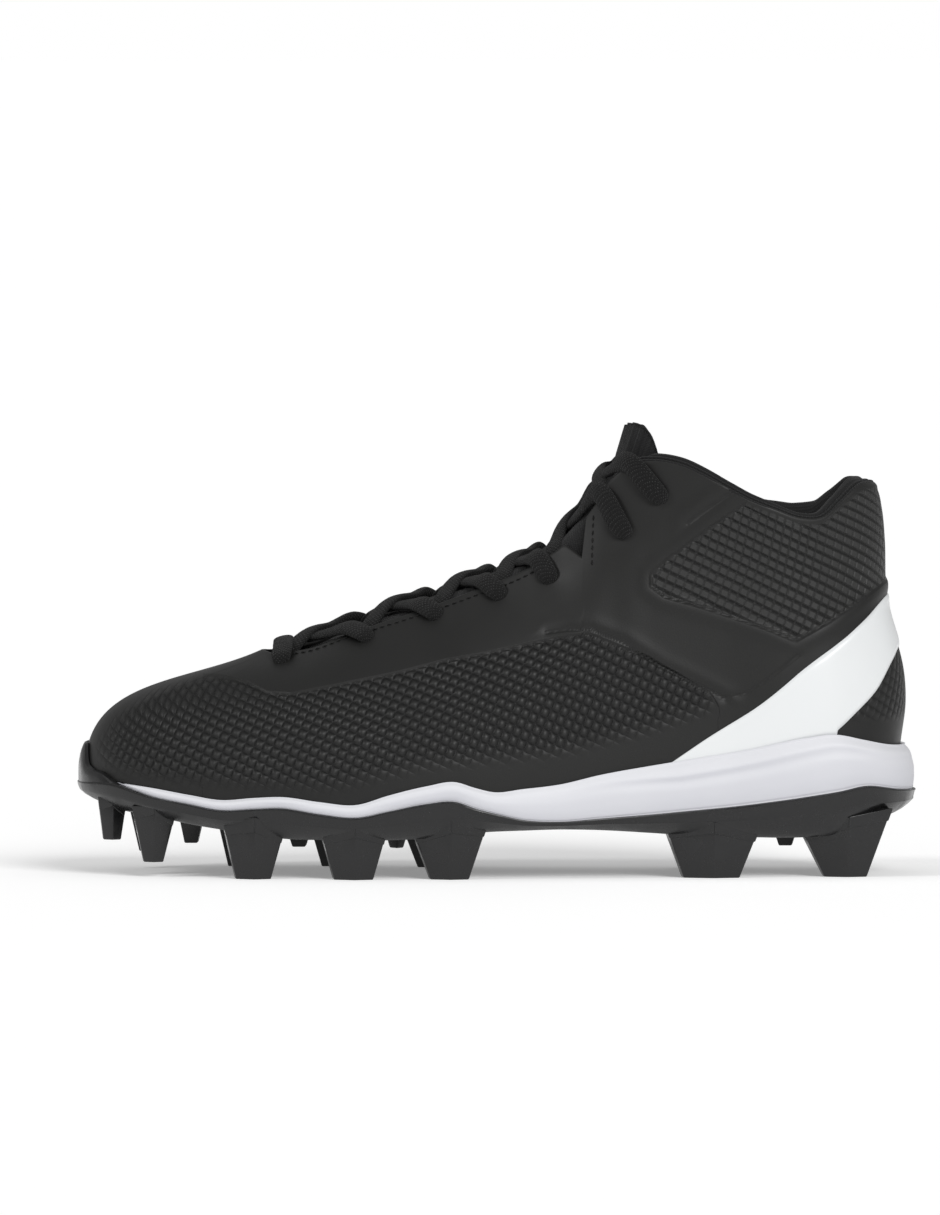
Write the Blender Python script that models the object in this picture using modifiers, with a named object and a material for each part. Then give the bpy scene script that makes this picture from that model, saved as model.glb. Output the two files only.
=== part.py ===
"""Mid-cut american football cleat for the left foot, standing empty on its studs.

The toe points to -X, the outer (lateral) side faces -Y and +Z is up. Everything is worked out from
two ideas. A station round the foot, called way, runs from 0 at the toe to 1 at the heel on the outer
side, and on to 2 back at the toe on the inner side. A share called along runs from 0 at the front of
the toe bumper to 1 at the back of the midsole. Tables hold shares of the named sizes below.
"""

import bpy
import bmesh
import numpy as np
from mathutils import Vector

# Driving sizes, in metres
LENGTH = 0.297
BALL_WIDTH = 0.098
HEEL_WIDTH = 0.066
COLLAR_WIDTH = 0.069
COLLAR_HEIGHT = 0.133
STUD_HEIGHT = 0.014
SOLE_DEPTH = 0.0373
HEEL_FLARE = 0.0056
THROAT_SHIFT = 0.003

# Walls and clearances, in metres
UPPER_WALL = 0.0022
GAP = 0.0004
BAND_THICK = 0.0007
WRAP_THICK = 0.0020
PAD_THICK = 0.0040
TONGUE_THICK = 0.0045
TONGUE_GAP = 0.0010
INSOLE_THICK = 0.0040
LACE_WIDTH = 0.0066
LACE_THICK = 0.0022
# How far one lace of a crossing rides over the other, as a share of the lace's thickness
LACE_PASS = 0.6
EYELET_RADIUS = 0.0024
# How far in from the edge the joint of midsole and outsole turns level, and how deep studs reach
# into the plate
CORE_INSET = 0.0065
STUD_ROOT = 0.0030

# Where the width changes from the ball's to the heel's, as shares of the length
WAIST_START = 0.40
WAIST_END = 0.75

# The station where the throat ends and the collar starts
THROAT_END = 0.665

# The upper's lower edge in plan: way, along, then y on each side as a share of the width there
FOOT_EDGE = [
    (0.00, 0.0088, 0.061, 0.061),
    (0.05, 0.0168, -0.097, 0.214),
    (0.10, 0.0421, -0.219, 0.332),
    (0.15, 0.0842, -0.316, 0.408),
    (0.20, 0.1347, -0.378, 0.454),
    (0.27, 0.2088, -0.434, 0.485),
    (0.34, 0.2896, -0.478, 0.497),
    (0.41, 0.3704, -0.497, 0.461),
    (0.48, 0.4512, -0.491, 0.411),
    (0.55, 0.5320, -0.493, 0.393),
    (0.62, 0.6128, -0.507, 0.410),
    (0.69, 0.6936, -0.528, 0.455),
    (0.76, 0.7744, -0.515, 0.492),
    (0.83, 0.8552, -0.500, 0.500),
    (0.89, 0.9158, -0.447, 0.447),
    (0.94, 0.9562, -0.326, 0.326),
    (0.97, 0.9731, -0.189, 0.189),
    (1.00, 0.9808, 0.000, 0.000),
]

# The throat's and collar's edge: way, along, half width as a share of the collar's width, rise as
# a share of the collar's height
TOPLINE = [
    (0.00, 0.2229, 0.000, 0.493),
    (0.05, 0.2242, 0.038, 0.492),
    (0.10, 0.2283, 0.072, 0.490),
    (0.15, 0.2343, 0.104, 0.489),
    (0.20, 0.2475, 0.138, 0.493),
    (0.27, 0.2828, 0.181, 0.508),
    (0.34, 0.3300, 0.210, 0.551),
    (0.41, 0.4097, 0.239, 0.611),
    (0.48, 0.4811, 0.261, 0.669),
    (0.55, 0.5461, 0.283, 0.729),
    (0.585, 0.5820, 0.297, 0.782),
    (0.62, 0.6140, 0.319, 0.872),
    (0.65, 0.6410, 0.348, 0.950),
    (0.665, 0.6600, 0.377, 0.976),
    (0.69, 0.6835, 0.413, 0.980),
    (0.72, 0.7160, 0.449, 0.966),
    (0.75, 0.7460, 0.478, 0.932),
    (0.78, 0.7765, 0.493, 0.889),
    (0.81, 0.8030, 0.498, 0.855),
    (0.84, 0.8316, 0.493, 0.833),
    (0.87, 0.8620, 0.464, 0.822),
    (0.90, 0.8900, 0.410, 0.830),
    (0.925, 0.9100, 0.333, 0.862),
    (0.95, 0.9325, 0.232, 0.900),
    (0.975, 0.9480, 0.123, 0.914),
    (1.00, 0.9540, 0.000, 0.916),
]

# How each rib of the last bends between those two edges: way, then how far its wall handle leans
# out and rises, and how far its crown handle leans out and drops. Outs are shares of the ball's
# width, rises and drops of the collar's height.
LAST_CURVE = [
    (0.00, 0.014, 0.263, 0.276, 0.098),
    (0.10, 0.020, 0.248, 0.255, 0.083),
    (0.20, 0.036, 0.233, 0.194, 0.064),
    (0.27, 0.041, 0.241, 0.173, 0.060),
    (0.34, 0.041, 0.256, 0.173, 0.083),
    (0.41, 0.031, 0.271, 0.173, 0.120),
    (0.48, 0.031, 0.286, 0.163, 0.150),
    (0.55, 0.031, 0.286, 0.153, 0.195),
    (0.62, 0.026, 0.300, 0.102, 0.271),
    (0.69, 0.020, 0.286, 0.020, 0.316),
    (0.76, 0.020, 0.286, -0.031, 0.286),
    (0.83, 0.026, 0.271, -0.041, 0.256),
    (0.90, 0.031, 0.248, -0.031, 0.226),
    (1.00, 0.038, 0.244, 0.020, 0.241),
]

# The sole's levels: along, then rim of the midsole, joint of midsole and outsole at the side, the
# same joint inside, footbed, and the underside of the plate. Shares of the sole's depth above the
# studs.
SOLE_LEVELS = [
    (0.000, 0.552, 0.499, 0.430, 0.547, 0.350),
    (0.055, 0.515, 0.501, 0.389, 0.509, 0.236),
    (0.070, 0.501, 0.461, 0.362, 0.477, 0.220),
    (0.086, 0.485, 0.418, 0.338, 0.445, 0.204),
    (0.137, 0.418, 0.335, 0.284, 0.381, 0.129),
    (0.173, 0.375, 0.282, 0.252, 0.346, 0.086),
    (0.214, 0.399, 0.298, 0.241, 0.335, 0.043),
    (0.247, 0.410, 0.308, 0.233, 0.327, 0.008),
    (0.291, 0.365, 0.252, 0.220, 0.314, 0.000),
    (0.335, 0.340, 0.220, 0.206, 0.303, 0.000),
    (0.372, 0.429, 0.282, 0.206, 0.311, 0.000),
    (0.417, 0.517, 0.354, 0.214, 0.338, 0.016),
    (0.451, 0.555, 0.373, 0.223, 0.365, 0.043),
    (0.474, 0.499, 0.308, 0.223, 0.381, 0.064),
    (0.497, 0.456, 0.257, 0.220, 0.394, 0.075),
    (0.531, 0.483, 0.193, 0.199, 0.413, 0.083),
    (0.576, 0.525, 0.174, 0.185, 0.437, 0.091),
    (0.622, 0.609, 0.201, 0.195, 0.466, 0.083),
    (0.683, 0.694, 0.239, 0.200, 0.520, 0.054),
    (0.723, 0.745, 0.268, 0.190, 0.558, 0.032),
    (0.798, 0.842, 0.327, 0.180, 0.627, 0.011),
    (0.873, 0.960, 0.410, 0.180, 0.681, 0.011),
    (0.900, 0.984, 0.445, 0.195, 0.694, 0.027),
    (0.936, 0.925, 0.500, 0.260, 0.708, 0.107),
    (0.961, 0.875, 0.461, 0.330, 0.713, 0.174),
    (1.000, 0.853, 0.416, 0.420, 0.718, 0.268),
]

# How far the sole stands out past the upper: way, midsole, outsole. Shares of the heel's flare.
SOLE_EDGE = [
    (0.00, -0.18, 0.43),
    (0.10, -0.18, 0.43),
    (0.12, 0.10, 0.43),
    (0.14, 0.22, 0.43),
    (0.17, 0.36, 0.46),
    (0.20, 0.41, 0.50),
    (0.34, 0.39, 0.48),
    (0.48, 0.45, 0.54),
    (0.60, 0.57, 0.64),
    (0.70, 0.75, 0.80),
    (0.83, 0.95, 1.00),
    (1.00, 1.00, 1.00),
]

# The midsole's side from its joint up to its rim: up, share of its standing out
MIDSOLE_SIDE = [(0.00, 0.93), (0.30, 1.00), (0.60, 0.92), (0.85, 0.62), (1.00, 0.20)]

# The outsole's side from the joint down to the plate: down, change as a share of the heel's flare
OUTSOLE_SIDE = [(0.00, 0.00), (0.15, 0.07), (0.40, -0.04), (0.75, -0.45), (1.00, -1.05)]

# The bumper round the toe: way, height of its top as a share of the sole's depth
TOE_WRAP = [
    (0.000, 0.836),
    (0.030, 0.826),
    (0.038, 0.760),
    (0.046, 0.680),
    (0.060, 0.630),
    (0.090, 0.590),
    (0.105, 0.536),
    (0.114, 0.505),
]
WRAP_FOOT = 0.455

# Studs: name, along, across as a share of the width there, then length and width at the root and the
# foot's height above the ground as shares of the stud height, and the foot's size as a share of the
# root's
STUDS = [
    ("toe_outer", 0.042, -0.150, 0.75, 0.80, 0.90, 0.62),
    ("toe_inner", 0.040, 0.230, 0.75, 0.80, 0.90, 0.62),
    ("front_outer", 0.092, -0.270, 1.15, 1.10, 0.38, 0.45),
    ("front_inner", 0.084, 0.335, 1.15, 1.10, 0.42, 0.45),
    ("ball_outer", 0.211, -0.385, 1.60, 1.25, 0.00, 0.58),
    ("ball_inner", 0.200, 0.425, 1.60, 1.25, 0.00, 0.58),
    ("tread_outer", 0.330, -0.430, 1.72, 1.25, 0.00, 0.60),
    ("tread_inner", 0.315, 0.420, 1.72, 1.25, 0.00, 0.60),
    ("waist_outer", 0.444, -0.420, 1.95, 1.25, 0.00, 0.52),
    ("waist_inner", 0.430, 0.355, 1.95, 1.25, 0.00, 0.52),
    ("heel_front_outer", 0.755, -0.460, 2.45, 1.20, 0.00, 0.60),
    ("heel_front_inner", 0.755, 0.430, 2.45, 1.20, 0.00, 0.60),
    ("heel_back_outer", 0.915, -0.370, 2.38, 1.30, 0.00, 0.47),
    ("heel_back_inner", 0.915, 0.370, 2.38, 1.30, 0.00, 0.47),
    ("lug_toe", 0.136, 0.060, 0.70, 1.40, 0.74, 0.50),
    ("lug_ball", 0.265, 0.020, 0.70, 1.60, 0.66, 0.50),
    ("lug_tread", 0.381, -0.010, 0.70, 1.60, 0.64, 0.50),
    ("lug_heel", 0.846, 0.000, 0.70, 1.40, 0.70, 0.50),
]

# A stud's plan, out towards its own side of the shoe: along, across, and how far its root is raised
# there. Shares of its length, its width and the stud height.
STUD_PLAN = [
    (-0.50, -0.45, 0.00),
    (-0.46, 0.18, 0.00),
    (0.04, 0.50, 0.26),
    (0.50, 0.22, 0.00),
    (0.44, -0.45, 0.00),
]

# Eyelets on each side: along, rise as a share of the collar's height, and the station at which
# the lace that leaves it crosses the throat's edge
EYELETS = [
    (0.2450, 0.470, 0.200),
    (0.3445, 0.531, 0.350),
    (0.4264, 0.592, 0.425),
    (0.5024, 0.647, 0.500),
    (0.5630, 0.693, 0.563),
    (0.6520, 0.814, 0.633),
    (0.6946, 0.908, 0.657),
]

# The V cut in the throat's edge between the fifth and sixth eyelets: way, rise of the cut edge
NOTCH = [(0.582, 0.776), (0.609, 0.739), (0.613, 0.739)]

# The heel band's edges on the side: along, rise as a share of the collar's height
BAND_TOP = [(0.700, 0.190), (0.7518, 0.268), (0.806, 0.343), (0.867, 0.452), (0.9127, 0.527)]
BAND_TOP_AT_HEEL = 0.640
BAND_FOOT = [(0.905, 0.285), (0.921, 0.318), (0.949, 0.382), (0.970, 0.462)]
BAND_FOOT_AT_HEEL = 0.505

# Colours and finishes: red, green, blue, roughness, metallic
FINISHES = {
    "black_skin": (0.020, 0.020, 0.020, 0.62, 0.0),
    "white_film": (0.80, 0.81, 0.82, 0.45, 0.0),
    "white_foam": (0.78, 0.78, 0.82, 0.55, 0.0),
    "black_rubber": (0.018, 0.018, 0.019, 0.38, 0.0),
    "black_knit": (0.012, 0.012, 0.012, 0.90, 0.0),
    "black_lace": (0.014, 0.014, 0.014, 0.85, 0.0),
    "grey_foam": (0.030, 0.030, 0.032, 0.90, 0.0),
}

# The tongue across: place from the outer to the inner side, how far up the rib it lies
TONGUE_SHEET = [(-1.0, 0.8), (-0.8, 0.9), (-0.6, 1.0), (0.6, 1.0), (0.8, 0.9), (1.0, 0.8)]
TONGUE_START = 0.13

# How far the tongue bulges out between the throat's edges: way, share of half the throat's width
TONGUE_BULGE = [(0.13, 0.00), (0.34, 0.00), (0.48, 0.12), (0.58, 0.24), (0.63, 0.22), (0.67, 0.22)]

# The tongue's free end: share of the way to its top edge, thickness as a share
TONGUE_END = [(0.00, 1.00), (0.40, 1.00), (0.75, 0.95), (0.93, 0.75), (1.00, 0.35)]
# Its top edge: along, half width, and how far its sides sweep back and drop
TONGUE_TOP = (0.6500, 0.290, 0.034, 0.070)
TONGUE_TOP_RISE = 1.087

# The collar's pad from its crest down: up the rib, thickness as a share of the pad's
PAD_SHEET = [(1.022, 0.45), (1.00, 0.85), (0.96, 1.00), (0.88, 0.95), (0.78, 0.60), (0.68, 0.30)]
PAD_START = 0.675

# The station where the midsole's rim starts, behind the bumper
RIM_START = 0.12

# The lace's section: across, thick, as shares of its half sizes
LACE_SECTION = [(-1.0, 0.0), (-0.72, 0.9), (0.0, 1.0), (0.72, 0.9), (1.0, 0.0), (0.0, -1.0)]

# How finely the forms are cut
LOOP_STEPS = 72
RIB_STEPS = 11
BAND_STEPS = 20
TONGUE_STEPS = 11
MERGE = 1e-7
SHARP_ANGLE = np.radians(40)


# Reading the tables

def smooth(knots, values, where):
    """A curve through values at the knots, read at where, with no corner at a knot."""
    knots, values = np.asarray(knots, float), np.asarray(values, float)
    step = np.diff(knots)
    rise = np.diff(values) / step
    slope = np.empty_like(values)
    slope[1:-1] = (rise[:-1] * step[1:] + rise[1:] * step[:-1]) / (step[:-1] + step[1:])
    slope[0], slope[-1] = rise[0], rise[-1]
    where = np.asarray(where, float)
    i = np.clip(np.searchsorted(knots, where, side="right") - 1, 0, len(step) - 1)
    t = (where - knots[i]) / step[i]
    return (
        values[i] * (1 + 2 * t) * (1 - t) ** 2
        + step[i] * slope[i] * t * (1 - t) ** 2
        + values[i + 1] * t ** 2 * (3 - 2 * t)
        - step[i] * slope[i + 1] * t ** 2 * (1 - t)
    )


def column(table, number):
    return np.array([row[number] for row in table], float)


def round_foot(ways, outer, inner):
    """A value known on the outer and the inner side, as a closed curve of the way round."""
    knots = np.concatenate([ways, 2 - ways[-2:0:-1]])
    values = np.concatenate([outer, inner[-2:0:-1]])
    knots = np.concatenate([knots[-3:] - 2, knots, knots[:3] + 2])
    values = np.concatenate([values[-3:], values, values[:3]])
    return lambda way: smooth(knots, values, np.mod(way, 2))


def one_side(way):
    """The way from toe to heel, whichever side."""
    way = np.mod(way, 2)
    return np.minimum(way, 2 - way)


def at_along(share):
    return LENGTH * (share - 0.5)


def share_of(x):
    return np.clip(x / LENGTH + 0.5, 0, 1)


def width_at(share):
    t = np.clip((share - WAIST_START) / (WAIST_END - WAIST_START), 0, 1)
    return BALL_WIDTH + (HEEL_WIDTH - BALL_WIDTH) * t * t * (3 - 2 * t)


def level(number, x):
    """One column of the sole's levels, as a height above the ground."""
    table = column(SOLE_LEVELS, number)
    return STUD_HEIGHT + SOLE_DEPTH * smooth(column(SOLE_LEVELS, 0), table, share_of(x))


RIM, JOINT, CORE, BED, PLATE = 1, 2, 3, 4, 5


# The last: two edges and the ribs between them

foot_ways = column(FOOT_EDGE, 0)
foot_widths = width_at(column(FOOT_EDGE, 1))
foot_x = round_foot(foot_ways, at_along(column(FOOT_EDGE, 1)), at_along(column(FOOT_EDGE, 1)))
foot_y = round_foot(
    foot_ways, column(FOOT_EDGE, 2) * foot_widths, column(FOOT_EDGE, 3) * foot_widths
)

top_ways = column(TOPLINE, 0)
top_shift = THROAT_SHIFT * (1 - np.clip(top_ways / THROAT_END, 0, 1))
top_x = round_foot(top_ways, at_along(column(TOPLINE, 1)), at_along(column(TOPLINE, 1)))
top_y = round_foot(
    top_ways,
    top_shift - COLLAR_WIDTH * column(TOPLINE, 2),
    top_shift + COLLAR_WIDTH * column(TOPLINE, 2),
)
top_z = round_foot(top_ways, column(TOPLINE, 3), column(TOPLINE, 3))

curve_ways = column(LAST_CURVE, 0)
bends = [round_foot(curve_ways, column(LAST_CURVE, k), column(LAST_CURVE, k)) for k in (1, 2, 3, 4)]


def outward(curve_x, curve_y, way):
    """The plan direction that faces out of a closed curve."""
    dx = curve_x(way + 1e-3) - curve_x(way - 1e-3)
    dy = curve_y(way + 1e-3) - curve_y(way - 1e-3)
    long = np.hypot(dx, dy)
    return np.stack([dy / long, -dx / long], -1)


def foot_edge(way):
    """The upper's lower edge, a hair above the footbed."""
    x = foot_x(way)
    return np.stack([x, foot_y(way), level(BED, x) + GAP], -1)


def topline(way):
    return np.stack([top_x(way), top_y(way), STUD_HEIGHT + COLLAR_HEIGHT * top_z(way)], -1)


def upper(way, up):
    """The upper's outer surface: up is 0 at the foot's edge and 1 at the topline."""
    way, up = np.broadcast_arrays(np.asarray(way, float), np.asarray(up, float))
    foot, top = foot_edge(way), topline(way)
    wall, crown = foot.copy(), top.copy()
    wall[..., :2] += outward(foot_x, foot_y, way) * (BALL_WIDTH * bends[0](way))[..., None]
    wall[..., 2] += COLLAR_HEIGHT * bends[1](way)
    crown[..., :2] += outward(top_x, top_y, way) * (BALL_WIDTH * bends[2](way))[..., None]
    crown[..., 2] -= COLLAR_HEIGHT * bends[3](way)
    t = up[..., None]
    return (
        foot * (1 - t) ** 3
        + 3 * wall * t * (1 - t) ** 2
        + 3 * crown * t * t * (1 - t)
        + top * t ** 3
    )


def upper_normal(way, up):
    """The direction that faces out of the upper's surface."""
    step = 2e-3
    round_it = upper(way + step, up) - upper(way - step, up)
    up_it = upper(way, up + step) - upper(way, up - step)
    face = np.cross(round_it, up_it)
    return face / np.linalg.norm(face, axis=-1, keepdims=True)


def above_upper(way, up, lift):
    return upper(way, up) + upper_normal(way, up) * np.asarray(lift)[..., None]


def up_at_height(way, z):
    """The share of the rib at which it reaches a height."""
    way, z = np.broadcast_arrays(np.asarray(way, float), np.asarray(z, float))
    low, high = np.zeros(way.shape), np.ones(way.shape)
    for _ in range(30):
        middle = (low + high) / 2
        below = upper(way, middle)[..., 2] < z
        low, high = np.where(below, middle, low), np.where(below, high, middle)
    return (low + high) / 2


def top_of_rib(way):
    """Where the wall ends on its rib: at the topline, or lower in the notch."""
    start, bottom, end = (row[0] for row in NOTCH)
    rise = np.interp(one_side(way), [start, bottom], [NOTCH[0][1], NOTCH[1][1]])
    cut = up_at_height(way, STUD_HEIGHT + COLLAR_HEIGHT * rise)
    inside = (one_side(way) > start + 1e-6) & (one_side(way) < end - 1e-6)
    return np.where(inside, cut, 1.0)


def find_on_side(share, rise):
    """The way and up, on the outer side, of a point given by its place along and its rise."""
    x, z = at_along(share), STUD_HEIGHT + COLLAR_HEIGHT * rise
    low, high = 0.02, 0.995
    for _ in range(40):
        way = (low + high) / 2
        ahead = upper(way, up_at_height(way, z))[0] < x
        low, high = (way, high) if ahead else (low, way)
    return way, float(up_at_height(way, z))


def beside_upper(way, z, out):
    """A point at height z, standing out from the upper's surface in plan."""
    where = upper(way, up_at_height(way, np.maximum(z, foot_edge(way)[..., 2])))
    place = where[..., :2] + outward(foot_x, foot_y, way) * np.asarray(out)[..., None]
    return np.concatenate([place, np.broadcast_to(z, way.shape)[..., None]], -1)


# Making objects

def loop_ways(steps):
    """Stations round the foot, the same on both sides, closer at toe and heel."""
    t = np.arange(steps // 2) / (steps // 2)
    side = t - 0.055 * np.sin(2 * np.pi * t) * np.abs(np.cos(np.pi * t))
    for place in [RIM_START] + [way for way, _ in NOTCH]:
        side[np.argmin(np.abs(side - place))] = place
    return np.concatenate([side, 2 - np.concatenate([[1.0], side[:0:-1]])])


def material(name):
    made = bpy.data.materials.get(name)
    if made is None:
        red, green, blue, rough, metal = FINISHES[name]
        made = bpy.data.materials.new(name)
        made.use_nodes = True
        shader = made.node_tree.nodes["Principled BSDF"]
        shader.inputs["Base Color"].default_value = (red, green, blue, 1)
        shader.inputs["Roughness"].default_value = rough
        shader.inputs["Metallic"].default_value = metal
        made.diffuse_color = (red, green, blue, 1)
    return made


def make_object(name, points, faces, finish, parts):
    mesh = bpy.data.meshes.new(name)
    mesh.from_pydata([tuple(p) for p in points], [], faces)
    shape = bmesh.new()
    shape.from_mesh(mesh)
    bmesh.ops.remove_doubles(shape, verts=shape.verts, dist=MERGE)
    bmesh.ops.recalc_face_normals(shape, faces=shape.faces)
    shape.to_mesh(mesh)
    shape.free()
    mesh.materials.append(material(finish))
    mesh.shade_smooth()
    mesh.set_sharp_from_angle(angle=SHARP_ANGLE)
    made = bpy.data.objects.new(name, mesh)
    parts.objects.link(made)
    return made


def grid_faces(rows, columns, looped):
    faces = []
    for r in range(rows - 1):
        for c in range(columns if looped else columns - 1):
            d = (c + 1) % columns
            faces.append((r * columns + c, r * columns + d, (r + 1) * columns + d, (r + 1) * columns + c))
    return faces


def shell(name, surface, thick, looped, finish, parts):
    """An open surface, a grid of points, given its wall: inwards, or outwards if thick is negative."""
    rows, columns = surface.shape[:2]
    faces = grid_faces(rows, columns, looped)
    made = make_object(name, surface.reshape(-1, 3), faces, finish, parts)
    wall = made.modifiers.new("wall", "SOLIDIFY")
    wall.thickness = thick
    wall.offset = -1
    wall.use_even_offset = True
    return made


def slab(name, face, back, finish, parts):
    """A solid of uneven thickness between two like grids, closed at its borders."""
    rows, columns = face.shape[:2]
    count = rows * columns
    points = np.concatenate([face.reshape(-1, 3), back.reshape(-1, 3)])
    faces = grid_faces(rows, columns, False)
    faces += [tuple(count + i for i in reversed(f)) for f in faces]
    border = [r * columns for r in range(rows)]
    border += [(rows - 1) * columns + c for c in range(1, columns)]
    border += [r * columns + columns - 1 for r in range(rows - 2, -1, -1)]
    border += [c for c in range(columns - 2, -1, -1)]
    faces += [(a, b, count + b, count + a) for a, b in zip(border, border[1:])]
    return make_object(name, points, faces, finish, parts)


def ring_solid(name, rings, finish, parts):
    """A solid of closed rings, each with its first point at the toe, ruled across at both ends."""
    steps = len(rings[0])
    half = steps // 2
    points = np.concatenate(rings)
    faces = grid_faces(len(rings), steps, True)
    for base in (0, (len(rings) - 1) * steps):
        for i in range(half):
            across = [base + i, base + i + 1, base + steps - i - 1, base + (steps - i) % steps]
            faces.append(tuple(dict.fromkeys(across)))
    return make_object(name, points, faces, finish, parts)


def boolean(target, other, operation):
    """Cuts other from target, or joins it, and hides the tool."""
    change = target.modifiers.new(other.name, "BOOLEAN")
    change.operation = operation
    change.solver = "EXACT"
    change.object = other
    other.hide_render = True
    other.display_type = "WIRE"


# The pieces

def make_upper(parts, cutters):
    ways = loop_ways(LOOP_STEPS)
    ups = np.linspace(0, 1, RIB_STEPS)[:, None] * top_of_rib(ways)
    wall = shell("upper", upper(ways, ups), UPPER_WALL, True, "black_skin", parts)
    for number, (share, rise, _) in enumerate(EYELETS):
        way, up = find_on_side(share, rise)
        for side, place in (("outer", way), ("inner", 2 - way)):
            centre, normal = upper(place, up), upper_normal(place, up)
            hole = round_pin(f"eyelet_{side}_{number + 1}", centre, normal, cutters)
            boolean(wall, hole, "DIFFERENCE")
    return wall


def round_pin(name, centre, axis, cutters):
    """An eight-sided pin through the wall, along axis."""
    shape = bmesh.new()
    bmesh.ops.create_cone(
        shape, cap_ends=True, segments=8, radius1=EYELET_RADIUS, radius2=EYELET_RADIUS,
        depth=UPPER_WALL * 4,
    )
    mesh = bpy.data.meshes.new(name)
    shape.to_mesh(mesh)
    shape.free()
    pin = bpy.data.objects.new(name, mesh)
    pin.matrix_world = Vector(axis).to_track_quat("Z", "Y").to_matrix().to_4x4()
    pin.location = Vector(centre) - Vector(axis) * UPPER_WALL / 2
    cutters.objects.link(pin)
    return pin


def edge_out(number, way):
    return HEEL_FLARE * smooth(column(SOLE_EDGE, 0), column(SOLE_EDGE, number), one_side(way))


def joint_ring(ways, drop):
    """Where midsole and outsole meet at the side, and the same joint inside, lowered by drop."""
    x = foot_x(ways)
    stand = edge_out(1, ways) * np.where(edge_out(1, ways) > 0, MIDSOLE_SIDE[0][1], 1)
    side = beside_upper(ways, level(JOINT, x) - drop, stand)
    inside = beside_upper(ways, level(CORE, x) - drop, np.full(ways.shape, -CORE_INSET))
    return side, inside


def make_midsole(parts):
    ways = loop_ways(LOOP_STEPS)
    x = foot_x(ways)
    out = edge_out(1, ways)
    bed, joint = level(BED, x), level(JOINT, x)
    rim = np.where(one_side(ways) > RIM_START, level(RIM, x), bed)
    seat = np.where(out > GAP, GAP, out - GAP)
    rings = [beside_upper(ways, bed, seat), beside_upper(ways, rim, seat)]
    for up, share in reversed(MIDSOLE_SIDE[1:]):
        stand = np.where(out > GAP, np.maximum(out * share, seat + GAP), out)
        rings.append(beside_upper(ways, joint + (rim - joint) * up, stand))
    rings += joint_ring(ways, 0)
    return ring_solid("midsole", rings, "white_foam", parts)


def make_outsole(parts, cutters):
    ways = loop_ways(LOOP_STEPS)
    x = foot_x(ways)
    joint, plate = level(JOINT, x) - GAP, level(PLATE, x)
    rings = []
    for down, change in reversed(OUTSOLE_SIDE):
        z = joint - (joint - plate) * down
        rings.append(beside_upper(ways, z, edge_out(2, ways) + HEEL_FLARE * change))
    rings += joint_ring(ways, GAP)
    sole = ring_solid("outsole", rings, "black_rubber", parts)
    boolean(sole, make_toe_wrap(cutters), "UNION")
    for row in STUDS:
        boolean(sole, make_stud(*row, cutters), "UNION")
    return sole


def make_toe_wrap(cutters):
    ways = np.array([0.0, 0.016, 0.030, 0.038, 0.046, 0.060, 0.075, 0.090, 0.105, 0.114])
    ways = np.concatenate([-ways[:0:-1], ways])
    top = STUD_HEIGHT + SOLE_DEPTH * smooth(column(TOE_WRAP, 0), column(TOE_WRAP, 1), np.abs(ways))
    foot = STUD_HEIGHT + SOLE_DEPTH * WRAP_FOOT
    face, back = [], []
    for share in (0.0, 0.3, 0.55, 0.8, 1.0):
        z = foot + (top - foot) * share
        back.append(beside_upper(ways, z, np.full(ways.shape, GAP)))
        face.append(beside_upper(ways, z, np.full(ways.shape, GAP + WRAP_THICK)))
    return slab("toe_wrap", np.array(face), np.array(back), "black_rubber", cutters)


def make_stud(name, share, across, long, wide, foot_rise, taper, cutters):
    """A tapering block whose outer side is folded at a ridge."""
    x, y = at_along(share), across * width_at(share)
    side = -1 if across < 0 else 1
    points = []
    for px, py, lift in STUD_PLAN:
        px, py = px * long * STUD_HEIGHT, py * side * wide * STUD_HEIGHT
        root = level(PLATE, x + px) + STUD_ROOT + lift * STUD_HEIGHT
        roof = min(level(JOINT, x + px), level(CORE, x + px)) - GAP * 2
        points.append((x + px, y + py, min(root, roof)))
        points.append((x + px * taper, y + py * taper, STUD_HEIGHT * foot_rise))
    shape = bmesh.new()
    for p in points:
        shape.verts.new(p)
    bmesh.ops.convex_hull(shape, input=shape.verts)
    bmesh.ops.recalc_face_normals(shape, faces=shape.faces)
    mesh = bpy.data.meshes.new(name)
    shape.to_mesh(mesh)
    shape.free()
    mesh.materials.append(material("black_rubber"))
    stud = bpy.data.objects.new(name, mesh)
    cutters.objects.link(stud)
    return stud


def make_insole(parts):
    ways = loop_ways(LOOP_STEPS)
    x = foot_x(ways)
    base = level(BED, x) + GAP
    inset = -(UPPER_WALL + GAP * 2)
    rings = [
        beside_upper(ways, base, np.full(ways.shape, inset)),
        beside_upper(ways, base + INSOLE_THICK, np.full(ways.shape, inset)),
    ]
    return ring_solid("insole", rings, "grey_foam", parts)


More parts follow.
